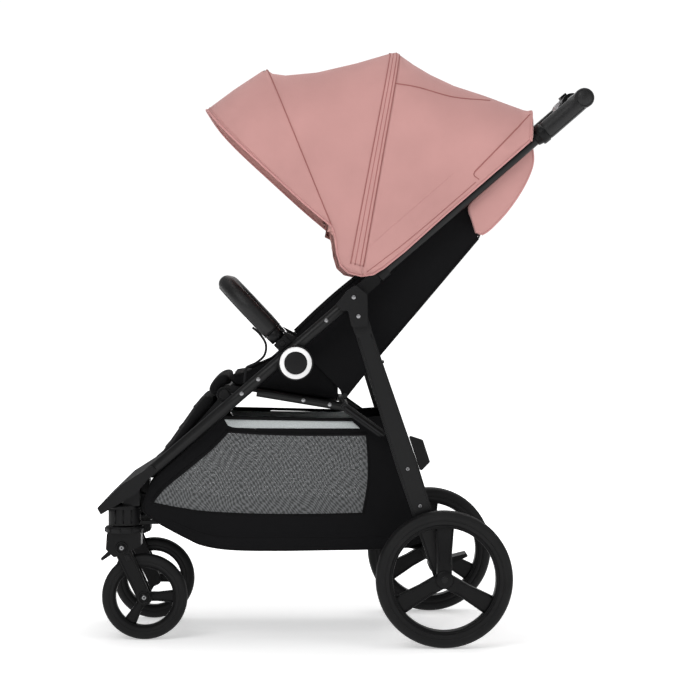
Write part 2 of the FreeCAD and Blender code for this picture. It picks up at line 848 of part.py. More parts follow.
def rim(seat, width, hub, bore, spoke_half, first_spoke, centre, side, capped):
    """Wheel centre with three broad spokes, open for its axle or closed by a cap on the outside."""
    half = width / 2
    profile = [
        (bore, -half - 1.5),
        (hub, -half - 1.5),
        (hub + 2, -half * 0.35),
        (seat - 13, -half * 0.3),
        (seat - 9, -half * 0.74),
        (seat - 0.2, -half * 0.76),
        (seat - 0.2, half * 0.76),
        (seat - 9, half * 0.74),
        (seat - 13, half * 0.4),
        (hub + 2, half * 0.5),
        (hub - 3, half + 0.5),
    ]
    if capped:
        profile += [(0, half + 2), (0, half)]
    profile.append((bore, half))
    body = turned(profile, centre, side)
    reach, start = seat - 15, hub + 9
    spread = [math.pi / 3 - math.asin(spoke_half / r) for r in (reach, start)]
    middle = math.radians(first_spoke + 60)

    def spot(radius, angle):
        return V(radius * math.cos(middle + angle), radius * math.sin(middle + angle), 0)

    window = sketch(body, "XZ_Plane", [
        Part.ArcOfCircle(spot(reach, -spread[0]), spot(reach, 0), spot(reach, spread[0])),
        Part.LineSegment(spot(reach, spread[0]), spot(start, spread[1])),
        Part.ArcOfCircle(spot(start, spread[1]), spot(start, 0), spot(start, -spread[1])),
        Part.LineSegment(spot(start, -spread[1]), spot(reach, -spread[0])),
    ])
    pocket = body.newObject("PartDesign::Pocket", "Window")
    pocket.Profile = window
    pocket.Type = "ThroughAll"
    pocket.SideType = "Symmetric"
    doc.recompute()
    whole = body.Shape.Volume
    pattern = body.newObject("PartDesign::PolarPattern", "Windows")
    pattern.Originals = [pocket]
    pattern.Axis = (window, ["N_Axis"])
    pattern.Angle = 360
    pattern.Occurrences = 3
    body.Tip = pattern
    doc.recompute()
    if body.Shape.Volume >= whole:
        raise RuntimeError("the windows of a rim were not cut")
    return body


def caster_fork(side):
    """Swivelling fork: stem, ring, crown, two arms, axle and release tab."""
    middle = side * size("front_wheel_middle")
    stem = rod(V(size("swivel_x"), middle, 205), V(0, 0, 1), "@swivel_stem_radius", "48")
    ring = rod(V(size("swivel_x"), middle, 207.5), V(0, 0, 1), "@swivel_ring_radius", "12")
    crown_face = [V(-455, 0, 209), V(-389, 0, 209), V(-389, 0, 182), V(-405, 0, 175), V(-441, 0, 160),
                  V(-457, 0, 176)]
    crown = slab(crown_face, middle, "47", 5)
    run = (FRONT_AXLE - V(-430, 0, 186)).normalize()
    rise = V(0, -1, 0).cross(run)
    top = V(-430, 0, 186)
    foot = FRONT_AXLE + run * 15
    arm = [top - rise * 16, foot - rise * 13, foot + rise * 13, top + rise * 16]
    arms = [slab(arm, middle + out, "6", 11) for out in (-20.5, 20.5)]
    axle = cross_rod(at_y(FRONT_AXLE, middle), "@front_axle_radius", "47")
    tab = slab([V(-452, 0, 172), V(-468, 0, 157), V(-466, 0, 152), V(-449, 0, 163)], middle, "16", 1)
    return join(stem, ring, crown, *arms, axle, tab)


def swivel_lock(side):
    """Lever behind the caster housing that stops the swivel."""
    middle = side * size("front_wheel_middle")
    lever = [V(-387.8, 0, 223.7), V(-356, 0, 223.5), V(-354, 0, 227), V(-362, 0, 229.8), V(-387.8, 0, 230.3)]
    return join(slab(lever, middle, "20"), cross_rod(V(-387.8, middle, 227), "3.4", "20"))


# ---- the whole stroller -------------------------------------------------------------------

for name, side in SIDES.items():
    keep(f"front_leg_{name}", front_leg(side))
    keep(f"frame_bracket_{name}", frame_bracket(side))
    keep(f"handle_tube_{name}", handle_tube(side))
    keep(f"rear_leg_{name}", rear_leg(side))
    keep(f"brace_{name}", brace(side))
    keep(f"leg_rest_button_{name}", leg_rest_button(side))
    keep(f"bumper_button_{name}", bumper_button(side))
    keep(f"caster_fork_{name}", caster_fork(side))
    keep(f"swivel_lock_{name}", swivel_lock(side))
    rear_centre = at_y(REAR_AXLE, side * size("rear_wheel_middle"))
    keep(
        f"rear_tyre_{name}",
        tyre(size("rear_wheel_radius"), size("rear_rim_radius"), size("rear_wheel_width"), rear_centre, side),
    )
    keep(
        f"rear_rim_{name}",
        rim(size("rear_rim_radius"), size("rear_wheel_width") - 5, 24, 6.3, 14, 90, rear_centre, side, True),
    )
    front_centre = at_y(FRONT_AXLE, side * size("front_wheel_middle"))
    keep(
        f"front_tyre_{name}",
        tyre(size("front_wheel_radius"), size("front_rim_radius"), size("front_wheel_width"), front_centre, side),
    )
    keep(
        f"front_rim_{name}",
        rim(size("front_rim_radius"), size("front_wheel_width") - 4, 12, 5.3, 8, 0, front_centre, side, False),
    )

for label, make in {
    "hub_housings": hub_housing,
    "hub_rings": hub_ring,
    "hub_caps": hub_cap,
    "caster_housings": caster_housing,
    "side_panels": side_panel,
    "bumper_sockets": bumper_socket,
    "handle_sockets": handle_socket,
    "handle_collars": handle_collar,
    "hood_mounts": hood_mount,
}.items():
    keep(label, group(*[make(side) for side in SIDES.values()]))

for label, thing in {
    "seat_frame": seat_frame(),
    "footrest": footrest(),
    "seat_board": seat_board(),
    "seat_pad": seat_pad(),
    "basket": basket(),
    "frame_screws": frame_screws(),
    "handlebar": handlebar(),
    "handle_grip": handle_grip(),
    "fold_housing": fold_housing(),
    "fold_button": fold_button(),
    "hood_bow_main": hood_bow(size("main_bow_angle"), 226.5),
    "hood_bow_front": hood_bow(size("front_bow_angle"), 219.5),
    "hood_rear_panel": hood_rear_panel(),
    "hood_front_panel": hood_front_panel(),
    "back_rod": back_rod(),
    "back_board": back_board(),
    "back_pad": back_pad(),
    "back_flap": back_flap(),
    "leg_rest_board": leg_rest_board(),
    "leg_rest_pad": leg_rest_pad(),
    "bumper_bar": bumper_bar(),
    "bumper_grip": bumper_grip(),
    "rear_axle": rear_axle(),
    "storage_catch": storage_catch(),
    "brake_pedal": brake_pedal(),
}.items():
    keep(label, thing)

doc.recompute()

for item in doc.Objects:
    if {"Invalid", "Error"} & set(item.State):
        raise RuntimeError(f"{item.Label} failed to recompute")
for label, item in kept.items():
    if item.Shape.isNull() or not item.Shape.isValid() or not item.Shape.Solids:
        raise RuntimeError(f"{label} has no valid solid")

os.makedirs("parts", exist_ok=True)
for label, item in kept.items():
    item.Shape.exportStep(f"parts/{label}.step")
    print(f"{label}: {len(item.Shape.Solids)} solid(s), {item.Shape.Volume / 1000:.1f} cm3")
print(f"{len(kept)} sub-parts")
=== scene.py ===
"""Looks of the folding stroller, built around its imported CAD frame.

Metres, in the CAD's frame: +Z up, -X the way the stroller travels, -Y its left side.
"""

import json
import math

import bmesh
import bpy
import numpy as np
from mathutils import Vector
from mathutils.bvhtree import BVHTree
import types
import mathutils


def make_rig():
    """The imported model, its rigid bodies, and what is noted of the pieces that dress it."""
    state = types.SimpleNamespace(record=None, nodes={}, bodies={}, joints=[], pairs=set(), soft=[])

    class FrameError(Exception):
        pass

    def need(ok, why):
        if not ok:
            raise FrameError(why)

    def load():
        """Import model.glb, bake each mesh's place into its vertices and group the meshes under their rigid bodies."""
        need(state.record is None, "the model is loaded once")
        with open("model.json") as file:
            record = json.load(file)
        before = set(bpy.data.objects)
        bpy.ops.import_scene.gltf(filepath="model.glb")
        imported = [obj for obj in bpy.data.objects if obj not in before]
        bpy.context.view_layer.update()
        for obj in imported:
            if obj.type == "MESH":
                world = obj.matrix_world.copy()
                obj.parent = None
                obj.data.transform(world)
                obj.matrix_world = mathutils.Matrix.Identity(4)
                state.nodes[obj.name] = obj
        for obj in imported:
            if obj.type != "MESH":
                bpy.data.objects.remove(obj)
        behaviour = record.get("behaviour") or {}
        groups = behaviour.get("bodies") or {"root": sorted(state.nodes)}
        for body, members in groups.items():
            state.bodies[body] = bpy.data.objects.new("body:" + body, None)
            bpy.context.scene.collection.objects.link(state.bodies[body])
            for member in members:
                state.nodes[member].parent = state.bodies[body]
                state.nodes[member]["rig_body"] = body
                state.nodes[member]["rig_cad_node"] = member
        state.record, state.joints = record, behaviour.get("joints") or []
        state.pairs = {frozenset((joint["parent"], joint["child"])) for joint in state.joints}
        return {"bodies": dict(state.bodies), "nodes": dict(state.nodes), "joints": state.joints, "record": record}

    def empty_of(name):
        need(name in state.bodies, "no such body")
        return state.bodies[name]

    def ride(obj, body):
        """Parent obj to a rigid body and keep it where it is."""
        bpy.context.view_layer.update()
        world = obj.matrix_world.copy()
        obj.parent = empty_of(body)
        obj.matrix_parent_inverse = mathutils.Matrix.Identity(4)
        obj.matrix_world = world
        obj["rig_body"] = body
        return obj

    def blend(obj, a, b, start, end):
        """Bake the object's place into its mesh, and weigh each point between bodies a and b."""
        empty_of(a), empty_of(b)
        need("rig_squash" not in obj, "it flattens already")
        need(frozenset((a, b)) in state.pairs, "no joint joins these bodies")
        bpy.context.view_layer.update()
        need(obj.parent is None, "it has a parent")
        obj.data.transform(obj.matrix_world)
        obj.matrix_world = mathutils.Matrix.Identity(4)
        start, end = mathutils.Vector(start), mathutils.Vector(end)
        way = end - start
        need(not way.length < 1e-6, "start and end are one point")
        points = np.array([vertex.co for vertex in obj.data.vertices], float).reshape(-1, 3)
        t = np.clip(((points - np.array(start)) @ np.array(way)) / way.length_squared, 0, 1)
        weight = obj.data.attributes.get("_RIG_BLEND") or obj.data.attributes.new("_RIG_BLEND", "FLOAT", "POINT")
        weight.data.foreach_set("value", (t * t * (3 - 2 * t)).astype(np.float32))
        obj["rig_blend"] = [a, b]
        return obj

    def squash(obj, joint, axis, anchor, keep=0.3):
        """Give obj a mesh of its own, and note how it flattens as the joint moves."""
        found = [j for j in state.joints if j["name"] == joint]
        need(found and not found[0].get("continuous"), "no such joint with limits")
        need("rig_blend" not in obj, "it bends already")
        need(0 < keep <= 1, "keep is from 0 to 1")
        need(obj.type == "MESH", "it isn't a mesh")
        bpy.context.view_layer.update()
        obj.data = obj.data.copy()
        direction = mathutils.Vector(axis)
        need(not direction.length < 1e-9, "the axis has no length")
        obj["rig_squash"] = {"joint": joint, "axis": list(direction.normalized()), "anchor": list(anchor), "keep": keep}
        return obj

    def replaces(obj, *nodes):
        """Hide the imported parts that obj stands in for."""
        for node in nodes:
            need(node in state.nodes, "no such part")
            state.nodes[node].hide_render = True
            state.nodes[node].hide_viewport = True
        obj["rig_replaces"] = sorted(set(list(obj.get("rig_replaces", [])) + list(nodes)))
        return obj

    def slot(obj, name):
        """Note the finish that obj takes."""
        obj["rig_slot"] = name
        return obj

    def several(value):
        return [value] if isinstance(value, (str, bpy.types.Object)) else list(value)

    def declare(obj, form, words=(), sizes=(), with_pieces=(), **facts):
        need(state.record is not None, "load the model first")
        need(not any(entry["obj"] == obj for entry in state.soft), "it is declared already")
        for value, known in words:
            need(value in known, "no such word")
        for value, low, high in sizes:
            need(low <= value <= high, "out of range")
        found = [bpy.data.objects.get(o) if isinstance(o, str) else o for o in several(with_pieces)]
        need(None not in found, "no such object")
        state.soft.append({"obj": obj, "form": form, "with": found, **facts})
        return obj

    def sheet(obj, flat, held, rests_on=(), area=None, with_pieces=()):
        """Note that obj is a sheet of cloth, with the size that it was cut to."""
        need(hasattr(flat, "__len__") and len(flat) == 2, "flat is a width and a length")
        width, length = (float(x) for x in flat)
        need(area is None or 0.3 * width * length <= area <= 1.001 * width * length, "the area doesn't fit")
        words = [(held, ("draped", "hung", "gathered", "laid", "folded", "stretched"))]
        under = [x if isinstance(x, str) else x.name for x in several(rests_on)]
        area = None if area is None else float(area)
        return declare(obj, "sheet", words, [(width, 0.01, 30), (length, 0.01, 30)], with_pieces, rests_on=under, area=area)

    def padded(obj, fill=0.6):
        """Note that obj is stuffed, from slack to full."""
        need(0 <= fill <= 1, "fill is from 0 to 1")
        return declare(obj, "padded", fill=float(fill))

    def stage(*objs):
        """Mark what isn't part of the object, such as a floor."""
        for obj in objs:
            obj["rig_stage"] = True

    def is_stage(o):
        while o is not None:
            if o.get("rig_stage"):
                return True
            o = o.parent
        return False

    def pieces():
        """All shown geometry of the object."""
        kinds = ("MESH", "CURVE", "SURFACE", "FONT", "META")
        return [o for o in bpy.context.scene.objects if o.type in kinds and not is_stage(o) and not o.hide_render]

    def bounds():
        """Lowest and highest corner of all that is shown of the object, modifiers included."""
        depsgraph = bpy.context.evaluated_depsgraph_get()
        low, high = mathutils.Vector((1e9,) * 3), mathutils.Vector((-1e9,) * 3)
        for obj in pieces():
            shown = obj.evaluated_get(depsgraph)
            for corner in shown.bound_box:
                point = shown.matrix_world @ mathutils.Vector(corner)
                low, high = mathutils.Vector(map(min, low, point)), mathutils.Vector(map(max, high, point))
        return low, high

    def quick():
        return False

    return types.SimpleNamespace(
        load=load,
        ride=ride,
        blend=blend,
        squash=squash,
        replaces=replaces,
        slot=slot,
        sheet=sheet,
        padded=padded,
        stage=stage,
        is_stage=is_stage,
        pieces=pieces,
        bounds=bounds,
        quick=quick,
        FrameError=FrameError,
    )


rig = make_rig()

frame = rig.load()
cad_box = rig.bounds()
nodes = frame["nodes"]
scene = bpy.context.scene
SIDES = {"left": -1, "right": 1}

# ---- lines of the frame -------------------------------------------------------------------

FRAME_ANGLE = math.radians(40.8)
FRAME_LINE = Vector((math.cos(FRAME_ANGLE), 0, math.sin(FRAME_ANGLE)))
FRAME_NORMAL = Vector((-math.sin(FRAME_ANGLE), 0, math.cos(FRAME_ANGLE)))
PIVOT = Vector((0.02, 0, 0.663))
HOOD_PIVOT = Vector((0.022, 0, 0.722))
HOOD_MIDDLE = HOOD_PIVOT + Vector((0, 0, 0.15))
REAR_PIVOT = Vector((0.029, 0, 0.627))
REAR_AXLE = Vector((0.191, 0, 0.13))
FRONT_AXLE = Vector((-0.383, 0, 0.083))
BIGHT = Vector((0.005, 0, 0.473))
LEG_REST = Vector((-0.228, 0, 0.475))
BUMPER = Vector((-0.114, 0, 0.572))


def heading(degrees):
    angle = math.radians(degrees)
    return Vector((math.cos(angle), 0, math.sin(angle)))


def on_line(origin, run, rise):
    """A function that gives points by their distance along a line, across it and sideways."""
    return lambda along, across=0.0, y=0.0: origin + run * along + rise * across + Vector((0, y, 0))


on_frame = on_line(PIVOT, FRAME_LINE, FRAME_NORMAL)
on_back = on_line(BIGHT, heading(49.8), heading(139.8))
on_leg_rest = on_line(LEG_REST, heading(229), heading(139))


def side(x, z, y=0.0):
    return Vector((x, y, z))


# ---- materials ----------------------------------------------------------------------------


class Finish:
    """A node material under construction."""

    def __init__(self, name, colour, roughness, **sockets):
        self.mat = bpy.data.materials.new(name)
        self.mat.use_nodes = True
        self.tree = self.mat.node_tree
        self.shader = self.tree.nodes["Principled BSDF"]
        self.colour = (*colour, 1)
        self.shader.inputs["Base Color"].default_value = self.colour
        self.shader.inputs["Roughness"].default_value = roughness
        for socket, value in sockets.items():
            self.shader.inputs[socket.replace("_", " ")].default_value = value
        self.place = self.add("ShaderNodeTexCoord").outputs["Object"]
        self.last_normal = None

    def add(self, kind, **props):
        node = self.tree.nodes.new(kind)
        for key, value in props.items():
            setattr(node, key, value)
        return node

    def link(self, source, target):
        self.tree.links.new(source, target)

    def maths(self, operation, a, b=None):
        node = self.add("ShaderNodeMath", operation=operation)
        for slot, value in enumerate((a, b)):
            if value is None:
                continue
            if isinstance(value, (int, float)):
                node.inputs[slot].default_value = value
            else:
                self.link(value, node.inputs[slot])
        return node.outputs[0]

    def noise(self, scale, detail=3.0, stretch=(1, 1, 1), roughness=0.5):
        node = self.add("ShaderNodeTexNoise")
        node.inputs["Scale"].default_value = scale
        node.inputs["Detail"].default_value = detail
        node.inputs["Roughness"].default_value = roughness
        if stretch == (1, 1, 1):
            self.link(self.place, node.inputs["Vector"])
        else:
            mapping = self.add("ShaderNodeMapping")
            mapping.inputs["Scale"].default_value = stretch
            self.link(self.place, mapping.inputs["Vector"])
            self.link(mapping.outputs[0], node.inputs["Vector"])
        return node.outputs["Fac"]

    def cells(self, scale, feature="F1"):
        node = self.add("ShaderNodeTexVoronoi", feature=feature)
        node.inputs["Scale"].default_value = scale
        self.link(self.place, node.inputs["Vector"])
        return node.outputs["Distance"]

    def weave(self, period):
        """Crossing threads: a product of sines that works on any upright or level face."""
        split = self.add("ShaderNodeSeparateXYZ")
        self.link(self.place, split.inputs[0])
        turn = 2 * math.pi / period
        x, y, z = (self.maths("MULTIPLY", split.outputs[i], turn) for i in range(3))
        first = self.maths("SINE", self.maths("ADD", x, self.maths("MULTIPLY", y, 0.5)))
        second = self.maths("SINE", self.maths("ADD", z, self.maths("MULTIPLY", y, 0.5)))
        return self.maths("MULTIPLY", first, second)

    def bump(self, height, strength, distance):
        node = self.add("ShaderNodeBump")
        node.inputs["Strength"].default_value = strength
        node.inputs["Distance"].default_value = distance
        self.link(height, node.inputs["Height"])
        if self.last_normal is not None:
            self.link(self.last_normal, node.inputs["Normal"])
        self.last_normal = node.outputs[0]
        self.link(self.last_normal, self.shader.inputs["Normal"])
        return self

    def tint(self, factor, low, high):
        """Varies the colour between two shares of itself."""
        ramp = self.add("ShaderNodeValToRGB")
        ramp.color_ramp.elements[0].color = tuple(c * low for c in self.colour[:3]) + (1,)
        ramp.color_ramp.elements[1].color = tuple(min(1, c * high) for c in self.colour[:3]) + (1,)
        ramp.color_ramp.elements[0].position = 0.3
        ramp.color_ramp.elements[1].position = 0.7
        self.link(factor, ramp.inputs[0])
        self.link(ramp.outputs[0], self.shader.inputs["Base Color"])
        return self

    def gloss(self, factor, low, high):
        """Varies the roughness between two values."""
        node = self.add("ShaderNodeMapRange")
        node.inputs["To Min"].default_value = low
        node.inputs["To Max"].default_value = high
        self.link(factor, node.inputs["Value"])
        self.link(node.outputs[0], self.shader.inputs["Roughness"])
        return self


def cloth_finish(name, colour, period, sheen, crease=0.0006):
    f = Finish(name, colour, 0.88, Sheen_Weight=sheen, Sheen_Roughness=0.45, Specular_IOR_Level=0.12)
    f.tint(f.noise(9, 4), 0.94, 1.05)
    f.bump(f.noise(34, 2, (1, 0.6, 0.35)), 0.35, crease)
    f.bump(f.weave(period), 0.35, 0.00025)
    f.bump(f.noise(900, 2), 0.25, 0.0002)
    return f.mat


def plastic_finish(name, colour, roughness=0.5, grain=0.3):
    f = Finish(name, colour, roughness, Specular_IOR_Level=0.17)
    f.tint(f.noise(14, 3), 0.88, 1.12)
    f.gloss(f.noise(40, 4), roughness - 0.08, roughness + 0.1)
    f.bump(f.cells(1400), grain, 0.00012)
    return f.mat


def tube_finish(name, colour, roughness):
    f = Finish(name, colour, roughness, Specular_IOR_Level=0.24)
    f.tint(f.noise(10, 3), 0.9, 1.1)
    f.gloss(f.noise(60, 4), roughness - 0.06, roughness + 0.08)
    f.bump(f.noise(1500, 2), 0.18, 0.0001)
    return f.mat


def leather_finish(name, colour):
    f = Finish(name, colour, 0.46, Specular_IOR_Level=0.34)
    f.tint(f.noise(26, 3), 0.8, 1.2)
    f.gloss(f.cells(420), 0.38, 0.58)
    f.bump(f.cells(900), 0.3, 0.00015)
    f.bump(f.noise(70, 3), 0.2, 0.0004)
    return f.mat


def rubber_finish():
    f = Finish("tyre_rubber", (0.0035, 0.0035, 0.0038), 0.52, Specular_IOR_Level=0.24)
    f.tint(f.noise(18, 4), 0.8, 1.25)
    f.gloss(f.noise(30, 3), 0.52, 0.72)
    f.bump(f.noise(1100, 3), 0.35, 0.0002)
    return f.mat


def net_finish():
    """Open net: small holes between grey threads, with the uneven streaks of a stretched knit."""
    f = Finish("basket_net", (0.098, 0.101, 0.103), 0.75, Specular_IOR_Level=0.15)
    split = f.add("ShaderNodeSeparateXYZ")
    f.link(f.place, split.inputs[0])
    warp = f.maths("MULTIPLY", f.noise(13, 4), 0.055)
    lean = f.maths("ADD", f.maths("ADD", split.outputs[0], f.maths("MULTIPLY", split.outputs[2], 0.75)),
                   warp)
    back = f.maths("ADD", f.maths("SUBTRACT", split.outputs[0], split.outputs[2]), warp)
    streak = f.maths("SINE", f.maths("MULTIPLY", lean, 2 * math.pi / 0.0068))
    cross = f.maths("SINE", f.maths("MULTIPLY", back, 2 * math.pi / 0.015))
    uneven = f.maths("ADD", f.maths("MULTIPLY", streak, 0.22), f.maths("MULTIPLY", cross, 0.15))
    f.tint(f.maths("ADD", f.maths("ADD", uneven, f.maths("MULTIPLY", f.noise(240, 2), 0.5)), 0.25), 0.55,
           1.5)
    first = f.maths("SINE", f.maths("MULTIPLY", lean, 2 * math.pi / 0.0021))
    second = f.maths("SINE", f.maths("MULTIPLY", back, 2 * math.pi / 0.0021))
    holes = f.maths("ABSOLUTE", f.maths("MULTIPLY", first, second))
    f.bump(holes, 0.4, 0.0003)
    share = f.maths("GREATER_THAN", holes, 0.9)
    clear = f.add("ShaderNodeBsdfTransparent")
    mix = f.add("ShaderNodeMixShader")
    f.link(share, mix.inputs[0])
    f.link(f.shader.outputs[0], mix.inputs[1])
    f.link(clear.outputs[0], mix.inputs[2])
    f.link(mix.outputs[0], f.tree.nodes["Material Output"].inputs["Surface"])
    return f.mat


def strip_finish():
    f = Finish("reflective_strip", (0.42, 0.45, 0.45), 0.42, Specular_IOR_Level=0.6)
    f.tint(f.cells(700), 0.86, 1.12)
    f.bump(f.weave(0.0012), 0.5, 0.0002)
    return f.mat


def metal_finish():
    f = Finish("screw_metal", (0.34, 0.34, 0.35), 0.28, Metallic=1.0)
    f.gloss(f.noise(300, 2), 0.2, 0.42)
    f.bump(f.noise(900, 2, (1, 1, 6)), 0.2, 0.0001)
    return f.mat


PINK = (0.5, 0.268, 0.253)
FABRIC_PINK = cloth_finish("hood_fabric", PINK, 0.0011, 0.12)
# the hood's seam lines are painted dark pink: painted shade of the seam grooves, while the thread itself is the hood
# pink
SEAM_SHADE_PINK = cloth_finish("hood_seam_shade", (0.33, 0.13, 0.12), 0.0011, 0.05)
HEM_PINK = cloth_finish("hood_hem", (0.53, 0.265, 0.255), 0.0009, 0.12)
# the lining is the hood pink painted lighter: painted light that lifts the shade inside the hood
LINING_LIT_PINK = cloth_finish("hood_lining_lit", (0.56, 0.3, 0.275), 0.0011, 0.05)
FABRIC_BLACK = cloth_finish("seat_fabric", (0.0072, 0.0072, 0.0078), 0.0012, 0.04)
FABRIC_SIDE = cloth_finish("side_fabric", (0.0046, 0.0046, 0.0052), 0.0012, 0.02)
BINDING = cloth_finish("binding", (0.0042, 0.0042, 0.0046), 0.0009, 0.02)
THREAD = cloth_finish("thread_dark", (0.028, 0.028, 0.03), 0.0006, 0.1)
WEBBING = cloth_finish("webbing", (0.014, 0.014, 0.015), 0.0016, 0.1)
TUBE = tube_finish("tube_satin", (0.003, 0.0031, 0.0034), 0.36)
PLASTIC = plastic_finish("plastic_black", (0.0022, 0.0022, 0.0025), 0.38)
PLASTIC_SOFT = plastic_finish("plastic_charcoal", (0.006, 0.006, 0.0064), 0.5, 0.45)
PLASTIC_WHITE = plastic_finish("plastic_white", (0.82, 0.82, 0.82), 0.36, 0.1)
PLASTIC_GREY = plastic_finish("plastic_grey", (0.34, 0.34, 0.35), 0.3, 0.1)
LEATHER = leather_finish("grip_leather", (0.004, 0.004, 0.0044))
RUBBER = rubber_finish()
NET = net_finish()
STRIP = strip_finish()
METAL = metal_finish()
SLOT_OF = {TUBE.name: "tube_black", PLASTIC.name: "plastic_black", PLASTIC_SOFT.name: "plastic_black",
           PLASTIC_GREY.name: "button_grey", LEATHER.name: "grip_leather", RUBBER.name: "tyre_black",
           METAL.name: "screw_steel", WEBBING.name: "fabric_black"}

# ---- mesh tools ---------------------------------------------------------------------------


def build(name, verts, faces, mat, body=None, smooth=True):
    """A mesh piece with its material, the slot that goes with it and its body."""
    mesh = bpy.data.meshes.new(name)
    mesh.from_pydata([tuple(v) for v in verts], [], faces)
    mesh.validate()
    work = bmesh.new()
    work.from_mesh(mesh)
    bmesh.ops.remove_doubles(work, verts=work.verts, dist=1e-6)
    bmesh.ops.recalc_face_normals(work, faces=work.faces)
    work.to_mesh(mesh)
    work.free()
    mesh.polygons.foreach_set("use_smooth", [smooth] * len(mesh.polygons))
    mesh.materials.append(mat)
    obj = bpy.data.objects.new(name, mesh)
    scene.collection.objects.link(obj)
    if mat.name in SLOT_OF:
        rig.slot(obj, SLOT_OF[mat.name])
    if body:
        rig.ride(obj, body)
    return obj


def modify(obj, kind, **props):
    """Adds a modifier."""
    modifier = obj.modifiers.new(kind.title(), kind)
    for key, value in props.items():
        setattr(modifier, key, value)
    return modifier


def apply_all(obj):
    """Bakes the modifiers into the mesh."""
    graph = bpy.context.evaluated_depsgraph_get()
    graph.update()
    mesh = bpy.data.meshes.new_from_object(obj.evaluated_get(graph), depsgraph=graph)
    obj.modifiers.clear()
    obj.data = mesh
    return obj


def soften(obj, width, segments=3, angle=35):
    """Rounded edges with flat faces kept flat."""
    modify(obj, "BEVEL", width=width, segments=segments, limit_method="ANGLE",
           angle_limit=math.radians(angle), harden_normals=False)
    modify(obj, "WEIGHTED_NORMAL", keep_sharp=True)
    return obj


def sheet_faces(rows, columns, closed=False):
    """Quads of a grid of points that is listed row by row."""
    faces = []
    span = columns if closed else columns - 1
    for r in range(rows - 1):
        for c in range(span):
            d = (c + 1) % columns
            faces.append((r * columns + c, r * columns + d, (r + 1) * columns + d, (r + 1) * columns + c))
    return faces


def tube_faces(rows, columns):
    """Quads of a closed tube of rings, and its two end caps."""
    last = (rows - 1) * columns
    return sheet_faces(rows, columns, True) + [tuple(reversed(range(columns))),
                                               tuple(range(last, last + columns))]


def curve_through(points, count, closed=False):
    """Points spread evenly along a smooth curve through the given ones."""
    pts = np.array([tuple(p) for p in points], float)
    n = len(pts)
    dense = []
    spans = n if closed else n - 1
    for i in range(spans):
        a, b = pts[i], pts[(i + 1) % n]
        before = pts[i - 1] if closed or i else a * 2 - b
        after = pts[(i + 2) % n] if closed or i + 2 < n else b * 2 - a
        for t in np.linspace(0, 1, 24, endpoint=False):
            dense.append(0.5 * ((2 * a) + (b - before) * t + (2 * before - 5 * a + 4 * b - after) * t * t
                                + (3 * a - before - 3 * b + after) * t ** 3))
    dense.append(pts[0] if closed else pts[-1])
    return spread(np.array(dense), count)


def side_curve(points, count):
    """Points along a smooth curve through (x, z) points of the side view."""
    return curve_through([side(*p) for p in points], count)


def spread(points, count):
    """Points evenly spaced along a polyline."""
    pts = np.asarray(points, float)
    steps = np.linalg.norm(np.diff(pts, axis=0), axis=1)
    along = np.concatenate([[0], np.cumsum(steps)])
    wanted = np.linspace(0, along[-1], count)
    return np.stack([np.interp(wanted, along, pts[:, k]) for k in range(pts.shape[1])], axis=1)


def frames_along(path):
    """Tangent and two side directions at each point of a path, without twist."""
    pts = [Vector(p) for p in path]
    tangents = []
    for i in range(len(pts)):
        a, b = pts[max(i - 1, 0)], pts[min(i + 1, len(pts) - 1)]
        tangents.append((b - a).normalized())
    seed = Vector((0, 1, 0)) if abs(tangents[0].y) < 0.9 else Vector((0, 0, 1))
    first = (seed - tangents[0] * seed.dot(tangents[0])).normalized()
    out = []
    for t in tangents:
        first = (first - t * first.dot(t)).normalized()
        out.append((t, first, t.cross(first).normalized()))
    return pts, out


def sweep(name, path, radii, mat, body=None, segments=20, flat=1.0, caps=True):
    """A bar along a path. radii is one radius or one for each point; flat squeezes its second side."""
    pts, guides = frames_along(path)
    if isinstance(radii, (int, float)):
        radii = [radii] * len(pts)
    verts = []
    for p, (_, a, b), r in zip(pts, guides, radii):
        for k in range(segments):
            turn = 2 * math.pi * k / segments
            verts.append(p + a * (math.cos(turn) * r) + b * (math.sin(turn) * r * flat))
    faces = tube_faces(len(pts), segments) if caps else sheet_faces(len(pts), segments, True)
    return build(name, verts, faces, mat, body)


def ribbon(name, path, normals, width, thickness, mat, body=None):
    """A flat strap along a path, lying across the given normals."""
    pts, guides = frames_along(path)
    verts = []
    for p, (t, _, _), n in zip(pts, guides, normals):
        n = Vector(n)
        n = (n - t * n.dot(t)).normalized()
        across = t.cross(n).normalized()
        for a, b in ((-1, 0), (-0.9, 1), (0.9, 1), (1, 0), (0.9, -1), (-0.9, -1)):
            verts.append(p + across * (a * width / 2) + n * (b * thickness / 2))
    return build(name, verts, tube_faces(len(pts), 6), mat, body)


def stitches(name, path, normals, length, gap, radius, mat, body=None):
    """A row of short threads along a path."""
    pts = np.asarray([tuple(p) for p in path], float)
    total = np.linalg.norm(np.diff(pts, axis=0), axis=1).sum()
    count = max(1, int(total / (length + gap)))
    fine = spread(pts, count * 6 + 1)
    norm = spread(np.concatenate([pts, np.asarray([tuple(n) for n in normals], float)], axis=1),
                  count * 6 + 1)[:, 3:]
    verts, faces = [], []
    share = length / (length + gap)
    for i in range(count):
        a = Vector(fine[i * 6])
        b = a + (Vector(fine[i * 6 + 6]) - a) * share
        run = (b - a).normalized()
        up = Vector(norm[i * 6])
        up = (up - run * up.dot(run)).normalized()
        across = run.cross(up)
        base = len(verts)
        for t, r in ((0, 0.35), (0.2, 1), (0.8, 1), (1, 0.35)):
            middle = a.lerp(b, t) + up * (radius * 0.35 * (1 if 0 < t < 1 else -1))
            for k in range(6):
                turn = math.pi * k / 3
                verts.append(middle + across * (math.cos(turn) * radius * r)
                             + up * (math.sin(turn) * radius * r))
        faces += [tuple(base + k for k in f) for f in tube_faces(4, 6)]
    return build(name, verts, faces, mat, body)


